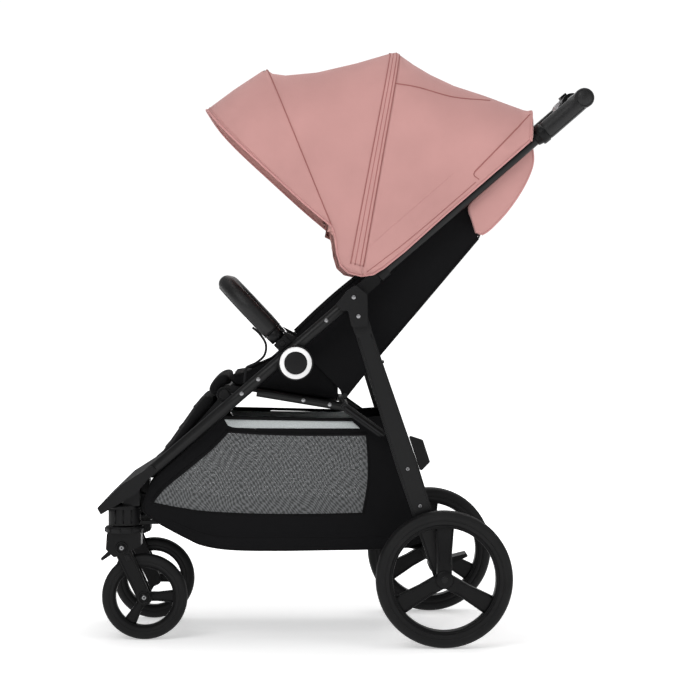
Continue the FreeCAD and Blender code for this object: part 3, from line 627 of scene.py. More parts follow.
def lathe(name, profile, centre, out, mat, body=None, segments=96):
    """Turned about Y through centre; profile points are (radius, distance outwards along out)."""
    verts = []
    for r, y in profile:
        for k in range(segments):
            turn = 2 * math.pi * k / segments
            verts.append(centre + Vector((math.cos(turn) * r, out * y, math.sin(turn) * r)))
    return build(name, verts, sheet_faces(len(profile), segments, True), mat, body)


def turned(name, profile, foot, mat, body, segments=72):
    """Turned about the upright through foot; profile points are (radius, height)."""
    turns = [2 * math.pi * k / segments for k in range(segments)]
    verts = [foot + Vector((math.cos(turn) * r, math.sin(turn) * r, z)) for r, z in profile
             for turn in turns]
    return build(name, verts, sheet_faces(len(profile), segments, True), mat, body)


def round_corners(points, radius, steps=5):
    """An outline in the side view with its corners rounded."""
    out = []
    n = len(points)
    for i in range(n):
        p = Vector(points[i])
        back = Vector(points[i - 1]) - p
        onward = Vector(points[(i + 1) % n]) - p
        reach = min(radius, back.length * 0.45, onward.length * 0.45)
        a, b = p + back.normalized() * reach, p + onward.normalized() * reach
        for k in range(steps + 1):
            t = k / steps
            out.append(a * (1 - t) ** 2 + p * (2 * t * (1 - t)) + b * t * t)
    return out


def slab(name, outline, y0, y1, mat, body=None, radius=0.004, edge=0.0015, segments=3):
    """A plate with a rounded outline in the side view, from y0 to y1, with softened edges."""
    ring = round_corners([Vector((p[0], p[-1])) for p in outline], radius)
    n = len(ring)
    verts = [Vector((p.x, y, p.y)) for y in (y0, y1) for p in ring]
    faces = [tuple(range(n)), tuple(reversed(range(n, 2 * n)))]
    faces += [(i, (i + 1) % n, n + (i + 1) % n, n + i) for i in range(n)]
    obj = build(name, verts, faces, mat, body)
    return soften(obj, edge, segments, 50)


def puffed(obj, voxel, pressure, cap):
    """Fills a closed form like a cushion: remesh, cloth under pressure, then a cap on how far it swells."""
    modify(obj, "REMESH", mode="VOXEL", voxel_size=voxel)
    apply_all(obj)
    rest = np.array([v.co for v in obj.data.vertices], float)
    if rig.quick():
        modify(obj, "SMOOTH", factor=0.5, iterations=6)
        apply_all(obj)
    else:
        cloth = modify(obj, "CLOTH")
        cloth.settings.use_pressure = True
        cloth.settings.uniform_pressure_force = pressure
        cloth.settings.effector_weights.gravity = 0
        cloth.settings.quality = 4
        cloth.point_cache.frame_start = 1
        cloth.point_cache.frame_end = 20
        for step in range(1, 21):
            scene.frame_set(step)
        apply_all(obj)
        scene.frame_set(1)
    swollen = np.array([v.co for v in obj.data.vertices], float)
    if swollen.shape == rest.shape:
        move = swollen - rest
        far = np.linalg.norm(move, axis=1, keepdims=True)
        limit = cap * np.tanh(far / cap) / np.maximum(far, 1e-9)
        obj.data.vertices.foreach_set("co", (rest + move * limit).astype(np.float32).ravel())
    obj.data.polygons.foreach_set("use_smooth", [True] * len(obj.data.polygons))
    modify(obj, "SMOOTH", factor=0.5, iterations=3)
    modify(obj, "SUBSURF", levels=1, render_levels=1)
    apply_all(obj)
    return obj


# ---- camera, light and floor --------------------------------------------------------------

camera = bpy.data.objects.new("camera", bpy.data.cameras.new("camera"))
scene.collection.objects.link(camera)
camera.location = (-0.08, -5.0, 0.675)
camera.rotation_euler = (math.radians(90), 0, 0)
camera.data.lens = 128.3
camera.data.sensor_width = 36
camera.data.shift_x = 0.07
camera.data.shift_y = -0.0843
scene.camera = camera

scene.view_settings.view_transform = "Standard"
scene.render.film_transparent = False

world = bpy.data.worlds.new("studio")
scene.world = world
world.use_nodes = True
sky = world.node_tree
background = sky.nodes["Background"]
background.inputs["Strength"].default_value = 0.42
seen, place, split, ramp, half, rays, choose = (
    sky.nodes.new(f"ShaderNode{kind}")
    for kind in ("Background", "TexCoord", "SeparateXYZ", "ValToRGB", "Math", "LightPath", "MixShader"))
seen.inputs["Color"].default_value = (1, 1, 1, 1)
seen.inputs["Strength"].default_value = 1.05
for stop, position, grey in zip(ramp.color_ramp.elements, (0.3, 0.95),
                                ((0.35, 0.35, 0.36, 1), (1, 1, 1, 1))):
    stop.position = position
    stop.color = grey
half.operation = "MULTIPLY_ADD"
half.inputs[1].default_value = 0.5
half.inputs[2].default_value = 0.5
for source, target in ((place.outputs["Generated"], split.inputs[0]), (split.outputs["Z"], half.inputs[0]),
                       (half.outputs[0], ramp.inputs[0]), (ramp.outputs[0], background.inputs["Color"]),
                       (rays.outputs["Is Camera Ray"], choose.inputs[0]),
                       (background.outputs[0], choose.inputs[1]), (seen.outputs[0], choose.inputs[2]),
                       (choose.outputs[0], sky.nodes["World Output"].inputs["Surface"])):
    sky.links.new(source, target)


def softbox(name, place_at, aim, size, power):
    """A rectangular lamp that looks at a point."""
    lamp = bpy.data.lights.new(name, "AREA")
    lamp.shape = "RECTANGLE"
    lamp.size, lamp.size_y = size
    lamp.energy = power
    obj = bpy.data.objects.new(name, lamp)
    scene.collection.objects.link(obj)
    obj.location = place_at
    obj.rotation_euler = (Vector(aim) - Vector(place_at)).to_track_quat("-Z", "Y").to_euler()
    return obj


softbox("key", (-1.6, -3.2, 3.0), (0.0, 0, 0.6), (2.4, 2.0), 56)
softbox("fill", (2.6, -2.6, 1.6), (0, 0, 0.6), (2.0, 2.0), 17)
softbox("top", (0.2, 0.4, 3.6), (0, 0, 0.4), (3.2, 2.4), 44)
softbox("back", (0.6, 3.4, 2.4), (0, 0, 0.6), (2.6, 1.8), 24)

floor_finish = Finish("floor", (1.0, 1.0, 1.0), 0.6, Specular_IOR_Level=0.1, Emission_Color=(1, 1, 1, 1),
                      Emission_Strength=0.42)
reach = floor_finish.add("ShaderNodeVectorMath", operation="LENGTH")
floor_finish.link(floor_finish.place, reach.inputs[0])
glow = floor_finish.add("ShaderNodeMapRange")
for socket, value in (("From Min", 0.7), ("From Max", 2.2), ("To Min", 0.42), ("To Max", 1.0)):
    glow.inputs[socket].default_value = value
floor_finish.link(reach.outputs["Value"], glow.inputs["Value"])
floor_finish.link(glow.outputs[0], floor_finish.shader.inputs["Emission Strength"])
floor = build("floor", [(-30, -30, 0), (30, -30, 0), (30, 60, 0), (-30, 60, 0)], [(0, 1, 2, 3)],
              floor_finish.mat, smooth=False)
floor.location.z = -0.0004
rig.stage(floor)

# ---- hood ---------------------------------------------------------------------------------

HOOD_HALF = 0.2376
HOOD_CORNER = 0.088
HOOD_CROWN = 0.011
SIDE_STEPS, ARC_STEPS, TOP_STEPS = 26, 10, 9

# Lines from the lower edge up to the top centre, in the side view, with the station of each.
BOW_ENDS = [(0.036, 0.7035), (0.113, 1.1445)]
BOW_LINE = (side(*BOW_ENDS[1]) - side(*BOW_ENDS[0])).normalized()
FRONT_LINES = [
    (0.0, BOW_ENDS),
    (0.08, [(0.011, 0.7095), (0.095, 1.146)]),
    (0.34, [(-0.004, 0.723), (0.03, 1.1272)]),
    (0.62, [(-0.0115, 0.748), (-0.049, 1.109)]),
    (0.86, [(-0.0135, 0.773), (-0.112, 1.103)]),
    (0.97, [(-0.019, 0.793), (-0.138, 1.1065)]),
    (1.0, [(-0.0205, 0.7975), (-0.149, 1.1135)]),
    (1.04, [(-0.0205, 0.7976), (-0.158, 1.1115)]),
    (1.25, [(-0.0206, 0.7977), (-0.13, 0.935), (-0.214, 1.0745)]),
    (1.5, [(-0.0207, 0.7978), (-0.073, 0.842), (-0.138, 0.901), (-0.204, 0.962), (-0.243, 1.002),
            (-0.268, 1.0345)]),
]
REAR_LINES = [
    (0.0, BOW_ENDS),
    (0.12, [(0.058, 0.707), (0.142, 1.124)]),
    (0.26, [(0.079, 0.72), (0.175, 1.1045)]),
    (0.42, [(0.12, 0.753), (0.222, 1.0825)]),
    (0.6, [(0.19, 0.816), (0.282, 1.063)]),
    (0.76, [(0.25, 0.868), (0.325, 1.047)]),
    (0.9, [(0.318, 0.927), (0.354, 1.0365)]),
    (1.0, [(0.357, 0.961), (0.3655, 1.029)]),
    (1.05, [(0.3605, 0.961), (0.367, 1.01)]),
    (1.1, [(0.361, 0.96), (0.366, 0.98)]),
]


def side_rows(lines, count=60):
    """The side-view lines as evenly spaced points, and their stations."""
    rows = [spread(curve_through([Vector((x, 0, z)) for x, z in pts], 80), count) for _, pts in lines]
    return rows, [key for key, _ in lines]


ROWS = {id(lines): side_rows(lines) for lines in (FRONT_LINES, REAR_LINES)}


def hood_line(lines, u):
    """The side-view line at station u, and its length."""
    rows, stops = ROWS[id(lines)]
    i = min(max(int(np.searchsorted(stops, u)) - 1, 0), len(stops) - 2)
    t = min(max((u - stops[i]) / (stops[i + 1] - stops[i]), 0), 1)
    row = rows[i] * (1 - t) + rows[i + 1] * t
    return row, float(np.linalg.norm(np.diff(row, axis=0), axis=1).sum())


HALVES = {}


def hood_half(lines, u):
    """Points of the hood's cross-section from its lower edge up the side and over to the top centre."""
    key = (id(lines), round(float(u), 6))
    if key in HALVES:
        return HALVES[key]
    row, length = hood_line(lines, u)
    along = np.linspace(0, length, len(row))
    corner = min(HOOD_CORNER, length * 0.8)
    crown = min(HOOD_CROWN, length * 0.1)

    def at(s):
        return [np.interp(s, along, row[:, k]) for k in (0, 2)]

    taut = math.sin(math.pi * min(max((u if lines is FRONT_LINES else u * 0.9), 0), 1)) * 0.0022
    points = []
    for s in np.linspace(0, length - corner - crown, SIDE_STEPS, endpoint=False):
        x, z = at(s)
        points.append((x, HOOD_HALF - taut * math.sin(math.pi * s / max(length - corner - crown, 1e-6)), z))
    for turn in np.linspace(0, math.pi / 2, ARC_STEPS, endpoint=False):
        x, z = at(length - corner - crown + corner * math.sin(turn))
        points.append((x, HOOD_HALF - corner * (1 - math.cos(turn)), z))
    for t in np.linspace(1, 0, TOP_STEPS):
        x, z = at(length - crown * t * t)
        points.append((x, (HOOD_HALF - corner) * t, z))
    HALVES[key] = np.array(points)
    return HALVES[key]


def hood_grid(lines, stops):
    """Rows of points round the hood, from its left lower edge over the top to the right one."""
    rows = []
    for u in stops:
        right = hood_half(lines, u)
        left = right[:-1] * np.array([1, -1, 1])
        rows.append(np.concatenate([left, right[::-1]]))
    return np.array(rows)


def hood_piece(name, lines, stops, mat):
    """One panel of the hood, with its normals outwards."""
    grid = hood_grid(lines, stops)
    count = grid.shape[1]
    obj = build(name, grid.reshape(-1, 3), sheet_faces(len(stops), count), mat)
    face_outwards(obj, HOOD_MIDDLE)
    return obj


def face_outwards(obj, middle):
    """Turns every normal away from a point inside."""
    mesh = obj.data
    total = sum((p.center - middle).dot(p.normal) * p.area for p in mesh.polygons)
    if total < 0:
        mesh.flip_normals()


def steps_between(lines, per):
    """Stations through all the lines, about per of them for each unit."""
    stops = []
    keys = [k for k, _ in lines]
    for a, b in zip(keys, keys[1:]):
        n = max(2, int(round((b - a) * per)))
        stops += list(np.linspace(a, b, n, endpoint=False))
    return stops + [keys[-1]]


def bend_front(obj):
    """The front panel bends from the main bow to the front one."""
    across = Vector((-BOW_LINE.z, 0, BOW_LINE.x))
    start = Vector((0.03, 0, 0.72))
    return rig.blend(obj, "hood_main", "hood_front", start=tuple(start), end=tuple(start + across * 0.235))


def bend_rear(obj):
    """The rear panel bends from the handle to the main bow."""
    across = Vector((BOW_LINE.z, 0, -BOW_LINE.x))
    end = Vector((0.04, 0, 0.72))
    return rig.blend(obj, "handle_frame", "hood_main", start=tuple(end + across * 0.262), end=tuple(end))


def surface_point(lines, u, s, lift=0.0, sign=-1):
    """A point on the hood at station u and share s of the half section, raised by lift."""
    half_row = hood_half(lines, u)
    near = hood_half(lines, min(u + 0.004, lines[-1][0]))
    back = hood_half(lines, max(u - 0.004, lines[0][0]))
    place_in = s * (len(half_row) - 1)

    def read(row, f):
        f = min(max(f, 0), len(row) - 1)
        i = min(int(f), len(row) - 2)
        return Vector(row[i] * (1 - (f - i)) + row[i + 1] * (f - i))

    point = read(half_row, place_in)
    du = read(near, place_in) - read(back, place_in)
    ds = read(half_row, place_in + 0.5) - read(half_row, place_in - 0.5)
    normal = du.cross(ds)
    if normal.length < 1e-12:
        normal = Vector((0, 1, 0))
    normal.normalize()
    if normal.dot(point - HOOD_MIDDLE) < 0:
        normal = -normal
    point = point + normal * lift
    return Vector((point.x, point.y * -sign, point.z)), Vector((normal.x, normal.y * -sign, normal.z))


def round_the_hood(lines, u, s0=0.0, lift=0.0006, count=70):
    """Points along station u from the left lower edge over the top to the right."""
    left = [surface_point(lines, u, s, lift, 1) for s in np.linspace(s0, 1, count)]
    right = [surface_point(lines, u, s, lift, -1) for s in np.linspace(1, s0, count)][1:]
    return [p for p, _ in left + right]


hood_front = hood_piece("hood_front_cover", FRONT_LINES, steps_between(FRONT_LINES, 44), FABRIC_PINK)
hood_rear = hood_piece("hood_rear_cover", REAR_LINES, steps_between(REAR_LINES, 44), FABRIC_PINK)
# the inner face of each cover takes the lining, which is painted lighter than the outer pink against the shade inside
# the hood
for cover in (hood_front, hood_rear):
    cover.data.materials.append(LINING_LIT_PINK)
    modify(cover, "SOLIDIFY", thickness=0.0016, offset=-1, material_offset=1, material_offset_rim=0,
           use_even_offset=True)
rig.replaces(hood_front, "hood_front_panel")
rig.replaces(hood_rear, "hood_rear_panel")

# channel over the main bow, between its two rows of stitching
CHANNEL = [(0.0, 0.0002), (0.006, 0.0016), (0.018, 0.0026), (0.034, 0.0028), (0.047, 0.002),
           (0.052, 0.0008), (0.056, 0.0012), (0.07, 0.0014), (0.078, 0.0002)]
channel_grid = [round_the_hood(FRONT_LINES, u, 0.035, lift) for u, lift in CHANNEL]
channel = build("hood_bow_channel", [p for row in channel_grid for p in row],
                sheet_faces(len(channel_grid), len(channel_grid[0])), FABRIC_PINK)
front_bits, rear_bits = [hood_front, channel], [hood_rear]
for number, u in enumerate((0.001, 0.022, 0.052, 0.079)):
    path = round_the_hood(FRONT_LINES, u, 0.03, 0.0026 if u == 0.022 else 0.0007)
    front_bits.append(sweep(f"hood_bow_seam_{number}", path, 0.0009, SEAM_SHADE_PINK, segments=6))

# seam over the front bow, then the peak's rolled edge and the stitching inside it
for name, u, start, lift, radius, mat, segments in (
        ("hood_front_seam", 1.0, 0.0, 0.0005, 0.0011, SEAM_SHADE_PINK, 6),
        ("hood_peak_hem", 1.5, 0.0, 0.0, 0.0022, HEM_PINK, 10),
        ("hood_peak_stitch", 1.472, 0.04, 0.0004, 0.0006, HEM_PINK, 6)):
    path = round_the_hood(FRONT_LINES, u, start, lift)
    front_bits.append(sweep(name, path, radius, mat, segments=segments))

# rear part: zip seam, edge seams, hems and the stitch rows on both sides


def hug(target, points, lift, away):
    """Points dropped onto a mesh along a direction, so that a seam lies on it."""
    tree = BVHTree.FromObject(target, bpy.context.evaluated_depsgraph_get())
    path, normals = [], []
    for p in points:
        hit, normal, _, _ = tree.ray_cast(Vector(p) + away * 0.06, -away, 0.3)
        if hit is not None:
            normal = normal if normal.dot(away) > 0 else -normal
            path.append(hit + normal * lift)
            normals.append(normal)
    return path, normals


ZIP_SEAM = [(0.097, 1.072), (0.144, 1.065), (0.214, 1.047), (0.285, 1.0425)]
REAR_SEAM = [(0.36, 1.014), (0.306, 0.958), (0.2516, 0.9022)]
REAR_SEAM_END = [(0.2516, 0.9022), (0.2506, 0.8955), (0.26, 0.888)]
HEM_STITCH = [(0.0456, 0.711), (0.12, 0.768), (0.19, 0.827), (0.254, 0.883)]
STITCH_LINE = [(0.0456, 0.7554), (0.13, 0.829), (0.2121, 0.8999)]
for word, sign in SIDES.items():
    outwards = Vector((0, sign, 0))
    for label, row, radius in (("zip", ZIP_SEAM, 0.0011), ("rear", REAR_SEAM, 0.0012),
                               ("notch", REAR_SEAM_END, 0.0009), ("hem", HEM_STITCH, 0.0006)):
        path, _ = hug(hood_rear, curve_through([side(x, z, sign * 0.25) for x, z in row], 60), 0.0003,
                      outwards)
        rear_bits.append(sweep(f"hood_{label}_line_{word}", path, radius, SEAM_SHADE_PINK, segments=6))
    path, normals = hug(hood_rear, curve_through([side(x, z, sign * 0.25) for x, z in STITCH_LINE], 90),
                        0.0001, outwards)
    rear_bits.append(stitches(f"hood_stitch_{word}", path, normals, 0.004, 0.003, 0.0005, HEM_PINK))
hem_stops = [0.0, 0.06, 0.12, 0.19, 0.26, 0.34, 0.42, 0.51, 0.6, 0.68, 0.76, 0.83, 0.9, 0.95, 1.0]
for word, sign in SIDES.items():
    path = [surface_point(REAR_LINES, u, 0.0, 0.0, -sign)[0] for u in hem_stops]
    rear_bits.append(sweep(f"hood_hem_{word}", curve_through(path, 90), 0.0019, HEM_PINK, segments=8))
    path = [surface_point(FRONT_LINES, u, 0.0, 0.0, -sign)[0] for u in np.linspace(0, 1.0, 26)]
    front_bits.append(sweep(f"hood_lobe_hem_{word}", curve_through(path, 60), 0.0019, HEM_PINK, segments=8))
path = round_the_hood(REAR_LINES, 1.0, 0.0, 0.0003)
rear_bits.append(sweep("hood_back_edge", path, 0.0015, HEM_PINK, segments=8))

for bit in front_bits:
    bend_front(bit)
for bit in rear_bits:
    bend_rear(bit)

# flap behind the back: a soft pouch between the handle tubes
FLAP_OUTER = [(0.363, 0.962), (0.3665, 0.928), (0.36, 0.901), (0.3425, 0.866), (0.316, 0.828),
              (0.285, 0.795), (0.268, 0.783)]
FLAP_INNER = [(0.256, 0.787), (0.249, 0.81), (0.242, 0.835), (0.256, 0.854), (0.29, 0.89),
              (0.32, 0.928), (0.347, 0.965)]


def flap_mesh():
    """Crowned pouch: the side outline shrinks a little towards each side."""
    outer = side_curve(FLAP_OUTER, 40)
    inner = side_curve(FLAP_INNER, 40)
    ring = np.concatenate([outer, inner])
    middle = ring.mean(axis=0)
    levels = [(-0.2074, 0.6), (-0.2073, 0.95), (-0.2066, 0.99), (-0.204, 1.0), (-0.1, 1.004), (0, 1.006),
              (0.1, 1.004), (0.204, 1.0), (0.2066, 0.99), (0.2073, 0.95), (0.2074, 0.6)]
    verts = []
    for y, share in levels:
        row = middle + (ring - middle) * share
        row[:, 1] = y
        verts += [Vector(p) for p in row]
    return build("back_flap_cover", verts, tube_faces(len(levels), len(ring)), FABRIC_PINK, "back")


def tuck(obj):
    """The flap creeps down the back, towards the seat, as the frame folds."""
    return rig.squash(obj, "frame_fold", heading(49.8), on_back(0.36), keep=0.2)


flap = tuck(flap_mesh())
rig.replaces(flap, "back_flap")
for word, sign in SIDES.items():
    edge = curve_through([side(x, z, sign * 0.2066) for x, z in FLAP_OUTER], 60)
    tuck(sweep(f"back_flap_piping_{word}", edge, 0.0017, HEM_PINK, "back", 8))

# ---- seat, back and leg rest --------------------------------------------------------------


def cushion(name, outline, half_width, pinch=0.012, rows=26):
    """Crowned cushion from its side outline: sides pull in, the middle stands proud."""
    corners = round_corners([Vector((q[0], q[-1])) for q in outline], pinch, 6)
    ring = np.array([tuple(side(p.x, p.y)) for p in corners])
    ring = spread(np.concatenate([ring, ring[:1]]), rows * 4 + 1)[:-1]
    middle = ring.mean(axis=0)
    verts = []
    for t in np.linspace(-1, 1, rows):
        share = 1 - 0.3 * abs(t) ** 9
        row = middle + (ring - middle) * share
        row[:, 1] = half_width * math.sin(t * math.pi / 2)
        verts += [Vector(p) for p in row]
    return build(name, verts, tube_faces(rows, len(ring)), FABRIC_BLACK)


def pad(name, outline, body, node, swell):
    """A filled cushion that takes a CAD pad's place."""
    obj = cushion(name, outline, PAD_HALF)
    puffed(obj, 0.006, 3.0, swell)
    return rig.replaces(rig.ride(obj, body), node)


def flat_pts(points):
    """Points as (x, z) pairs of the side view."""
    return [(p.x, p.z) for p in points]


PAD_HALF = 0.1555
SEAT_OUTLINE = [(-0.221, 0.4965), (-0.012, 0.4635), (-0.009, 0.4795), (-0.03, 0.485), (-0.12, 0.501),
                (-0.2, 0.515), (-0.219, 0.514)]
seat_pad = pad("seat_cushion", SEAT_OUTLINE, "front_frame", "seat_pad", 0.004)
back_outline = flat_pts([on_back(0.026, 0.006), on_back(0.392, 0.006), on_back(0.39, 0.024),
                         on_back(0.2, 0.03), on_back(0.04, 0.028)])
back_pad = pad("back_cushion", back_outline, "back", "back_pad", 0.005)
rest_outline = flat_pts([on_leg_rest(0.018, 0.0048), on_leg_rest(0.193, 0.004), on_leg_rest(0.192, 0.012),
                         on_leg_rest(0.13, 0.018), on_leg_rest(0.053, 0.026), on_leg_rest(0.02, 0.0285)])
rest_pad = pad("leg_rest_cushion", rest_outline, "leg_rest", "leg_rest_pad", 0.004)
knee = cushion("knee_roll", flat_pts([side(-0.2175, 0.4985), side(-0.2175, 0.515), side(-0.231, 0.5145),
                                      side(-0.244, 0.507), side(-0.2545, 0.492), on_leg_rest(0.0185, 0.029),
                                      on_leg_rest(0.018, 0.008), side(-0.233, 0.488)]), 0.156, 0.006)
puffed(knee, 0.005, 2.0, 0.003)
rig.blend(knee, "front_frame", "leg_rest", start=(-0.218, 0, 0.507), end=tuple(on_leg_rest(0.018, 0.018)))
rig.slot(knee, "fabric_black")
for soft in (seat_pad, back_pad, rest_pad, knee):
    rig.padded(soft, fill=0.6)

# back shell with its side wings
WING = [(0.0035, 0.466), (0.038, 0.5095), (0.096, 0.58), (0.264, 0.78), (0.248, 0.848), (0.12, 0.772),
        (0.017, 0.693), (-0.04, 0.644), (-0.094, 0.593), (-0.076, 0.562), (-0.058, 0.54),
        (-0.004, 0.484)]
for word, sign in SIDES.items():
    wing = slab(f"back_wing_{word}", WING, sign * 0.1768, sign * 0.1852, FABRIC_SIDE, None, 0.012, 0.003, 4)
    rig.ride(wing, "back")
board = slab("back_shell", flat_pts([on_back(0.01, -0.003), on_back(0.399, -0.003), on_back(0.399, 0.004),
                                     on_back(0.01, 0.004)]), -0.1765, 0.1765, FABRIC_SIDE, None, 0.002,
             0.0015, 3)
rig.replaces(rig.ride(board, "back"), "back_board")
for word, sign in SIDES.items():
    panel = slab(f"seat_side_{word}", [(-0.212, 0.496), (-0.0085, 0.4645), (-0.0085, 0.559), (-0.06, 0.581),
                                       (-0.121, 0.547), (-0.19, 0.517), (-0.212, 0.513)], sign * 0.1645,
                 sign * 0.1715, FABRIC_SIDE, None, 0.01, 0.0025, 4)
    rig.ride(panel, "front_frame")
    if word == "left":
        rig.replaces(panel, "side_panels")

# piping round the wings and on the sides of the seat
for word, sign in SIDES.items():
    loop = [side(x, z, sign * 0.1856) for x, z in WING[3:9]]
    sweep(f"wing_piping_{word}", curve_through(loop, 90), 0.0019, BINDING, "back", 8)
    loop = [side(x, z, sign * 0.1855) for x, z in WING[:4]]
    sweep(f"wing_edge_{word}", curve_through(loop, 70), 0.0016, BINDING, "back", 8)
for word, sign in SIDES.items():
    loop = [side(x, z, sign * 0.1718) for x, z in [(-0.212, 0.512), (-0.19, 0.516), (-0.121, 0.547),
                                                   (-0.06, 0.581)]]
    sweep(f"seat_side_piping_{word}", curve_through(loop, 40), 0.0017, BINDING, "front_frame", 8)


def seam_on(name, target, points, away, body):
    """A dark thread that is dropped onto a cushion."""
    path, _ = hug(target, curve_through(points, 60), 0.0002, away)
    return sweep(name, path, 0.0013, THREAD, body, 6)


SEAM_ROW = np.linspace(-0.146, 0.146, 9)
BACK_OUT = heading(139.8)
REST_OUT = heading(139)
SEAT_UP = heading(98.8)
for number, along in enumerate((0.1, 0.175, 0.25, 0.325)):
    seam_on(f"back_channel_{number}", back_pad, [on_back(along, 0.03, y) for y in SEAM_ROW], BACK_OUT,
            "back")
for number, along in enumerate((0.06, 0.11, 0.155)):
    seam_on(f"leg_rest_channel_{number}", rest_pad, [on_leg_rest(along, 0.02, y) for y in SEAM_ROW],
            REST_OUT, "leg_rest")
for number, x in enumerate((-0.165, -0.115, -0.065)):
    seam_on(f"seat_channel_{number}", seat_pad, [side(x, 0.51, y) for y in SEAM_ROW], SEAT_UP,
            "front_frame")

# harness: two shoulder straps on the back, a crotch strap and its buckle on the seat
for word, sign in SIDES.items():
    run = [on_back(a, 0.03, sign * (0.035 + 0.115 * a)) for a in np.linspace(0.085, 0.335, 40)]
    path, normals = hug(back_pad, run, 0.0022, BACK_OUT)
    ribbon(f"shoulder_strap_{word}", path, normals, 0.025, 0.0016, WEBBING, "back")
    run = [on_back(a, 0.03, sign * (0.035 + 0.115 * a)) for a in np.linspace(0.2, 0.32, 24)]
    path, normals = hug(back_pad, run, 0.005, BACK_OUT)
    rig.slot(ribbon(f"shoulder_sleeve_{word}", path, normals, 0.046, 0.0052, FABRIC_BLACK, "back"),
            "fabric_black")
path, normals = hug(seat_pad, [side(x, 0.51, 0) for x in np.linspace(-0.165, -0.085, 24)], 0.0022, SEAT_UP)
ribbon("crotch_strap", path, normals, 0.03, 0.0016, WEBBING, "front_frame")
top = path[-1] + SEAT_UP * 0.01
buckle = [Vector((top.x + a, 0, top.z + b)) for a, b in ((-0.022, -0.005), (0.024, -0.012), (0.024, -0.001),
                                                         (0.01, 0.005), (-0.018, 0.007))]
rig.ride(slab("harness_buckle", flat_pts(buckle), -0.021, 0.021, PLASTIC, None, 0.004, 0.002, 4),
        "front_frame")

# thin strap from the bumper bar's arm down to the leg tube
STRAP_Y = -0.1965
run = curve_through([side(-0.1735, 0.605, STRAP_Y), side(-0.16, 0.593, STRAP_Y),
                     side(-0.1478, 0.573, STRAP_Y), side(-0.1505, 0.5515, STRAP_Y),
                     side(-0.166, 0.537, STRAP_Y), side(-0.183, 0.529, STRAP_Y * 1.03),
                     side(-0.1865, 0.521, STRAP_Y * 1.06), side(-0.1885, 0.4985, STRAP_Y * 1.08)], 60)
strap = ribbon("bumper_strap_left", run, [(0, 1, 0)] * 60, 0.0046, 0.003, WEBBING)
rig.blend(strap, "front_frame", "bumper", start=(-0.185, STRAP_Y, 0.515), end=(-0.165, STRAP_Y, 0.6))

# ---- basket -------------------------------------------------------------------------------

BAG_HALF = 0.188
BAG_TOP = [(-0.228, 0.4315), (-0.11, 0.429), (0.0, 0.427), (0.098, 0.432)]
BAG_BASE = [(-0.383, 0.25), (-0.354, 0.2276), (-0.2983, 0.1979), (-0.2688, 0.1851), (-0.2171, 0.1768),
            (-0.1323, 0.175), (-0.0216, 0.1764), (0.0486, 0.1776), (0.12, 0.181), (0.156, 0.19)]
WINDOW_LOW = [(-0.3683, 0.2661), (-0.315, 0.256), (-0.2576, 0.2485), (-0.1544, 0.244), (-0.05, 0.244),
              (0.0394, 0.2459)]
WINDOW_HIGH = [(-0.2208, 0.4046), (-0.15, 0.4005), (-0.06, 0.3985), (0.0467, 0.399)]
WINDOW_FRONT = [(-0.3683, 0.2661), (-0.3462, 0.2939), (-0.302, 0.3307), (-0.256, 0.369), (-0.2208, 0.4046)]
WINDOW_BACK = [(0.0394, 0.2459), (0.049, 0.3), (0.0504, 0.3456), (0.0467, 0.399)]
STRIP_LOW = [(-0.2208, 0.4156), (-0.1986, 0.4112), (-0.09, 0.4102), (0.0338, 0.41)]
STRIP_HIGH = [(-0.2281, 0.4274), (-0.15, 0.4258), (-0.07, 0.4246), (0.0191, 0.4237)]


def bag_side(x, z, lift=0.0):
    """Half width of the basket's side wall at a point of the side view."""
    u = min(max((x + 0.383) / 0.539, 0), 1)
    v = min(max((z - 0.176) / 0.256, 0), 1)
    swell = 0.0045 * math.sin(math.pi * u) * math.sin(math.pi * v)
    fold = 0.0007 * math.sin(31 * x + 12 * z) * math.sin(math.pi * v)
    crease = 0.0016 * math.exp(-((z - 0.202) / 0.006) ** 2)
    return BAG_HALF + swell + (fold + crease) + lift


def bag_curve(points, count, sign, lift=0.0):
    """A smooth line on the basket's side wall."""
    return [Vector((p[0], sign * bag_side(p[0], p[2], lift), p[2])) for p in side_curve(points, count)]


def bag_patch(name, low, high, front, back, rows, columns, sign, lift, mat):
    """Sheet between four border lines of the side view, on the basket's side wall."""
    low_row = side_curve(low, columns)
    high_row = side_curve(high, columns)
    front_row = side_curve(front, rows)
    back_row = side_curve(back, rows)
    verts = []
    for r in range(rows):
        v = r / (rows - 1)
        for c in range(columns):
            u = c / (columns - 1)
            p = (low_row[c] * (1 - v) + high_row[c] * v + front_row[r] * (1 - u) + back_row[r] * u
                 - (low_row[0] * (1 - u) * (1 - v) + low_row[-1] * u * (1 - v) + high_row[0] * (1 - u) * v
                    + high_row[-1] * u * v))
            verts.append(Vector((p[0], sign * bag_side(p[0], p[2], lift), p[2])))
    return build(name, verts, sheet_faces(rows, columns), mat)


def outline_of(*rows):
    """Closed side outline, as (x, z) points, from the smooth lines round it."""
    return [tuple(p[::2]) for row in rows for p in side_curve(row, 30)]


def within(x, z, ring):
    """Whether a point of the side view lies inside a closed outline."""
    inside = False
    for (x0, z0), (x1, z1) in zip(ring, ring[1:] + ring[:1]):
        if (z0 > z) != (z1 > z) and x < (x1 - x0) * (z - z0) / (z1 - z0) + x0:
            inside = not inside
    return inside


def hang(obj):
    """The bag's front stays with the fixed frame, and its back goes forwards with the rear legs."""
    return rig.blend(obj, "front_frame", "rear_frame", (-0.24, 0, 0.3), (0.13, 0, 0.3))


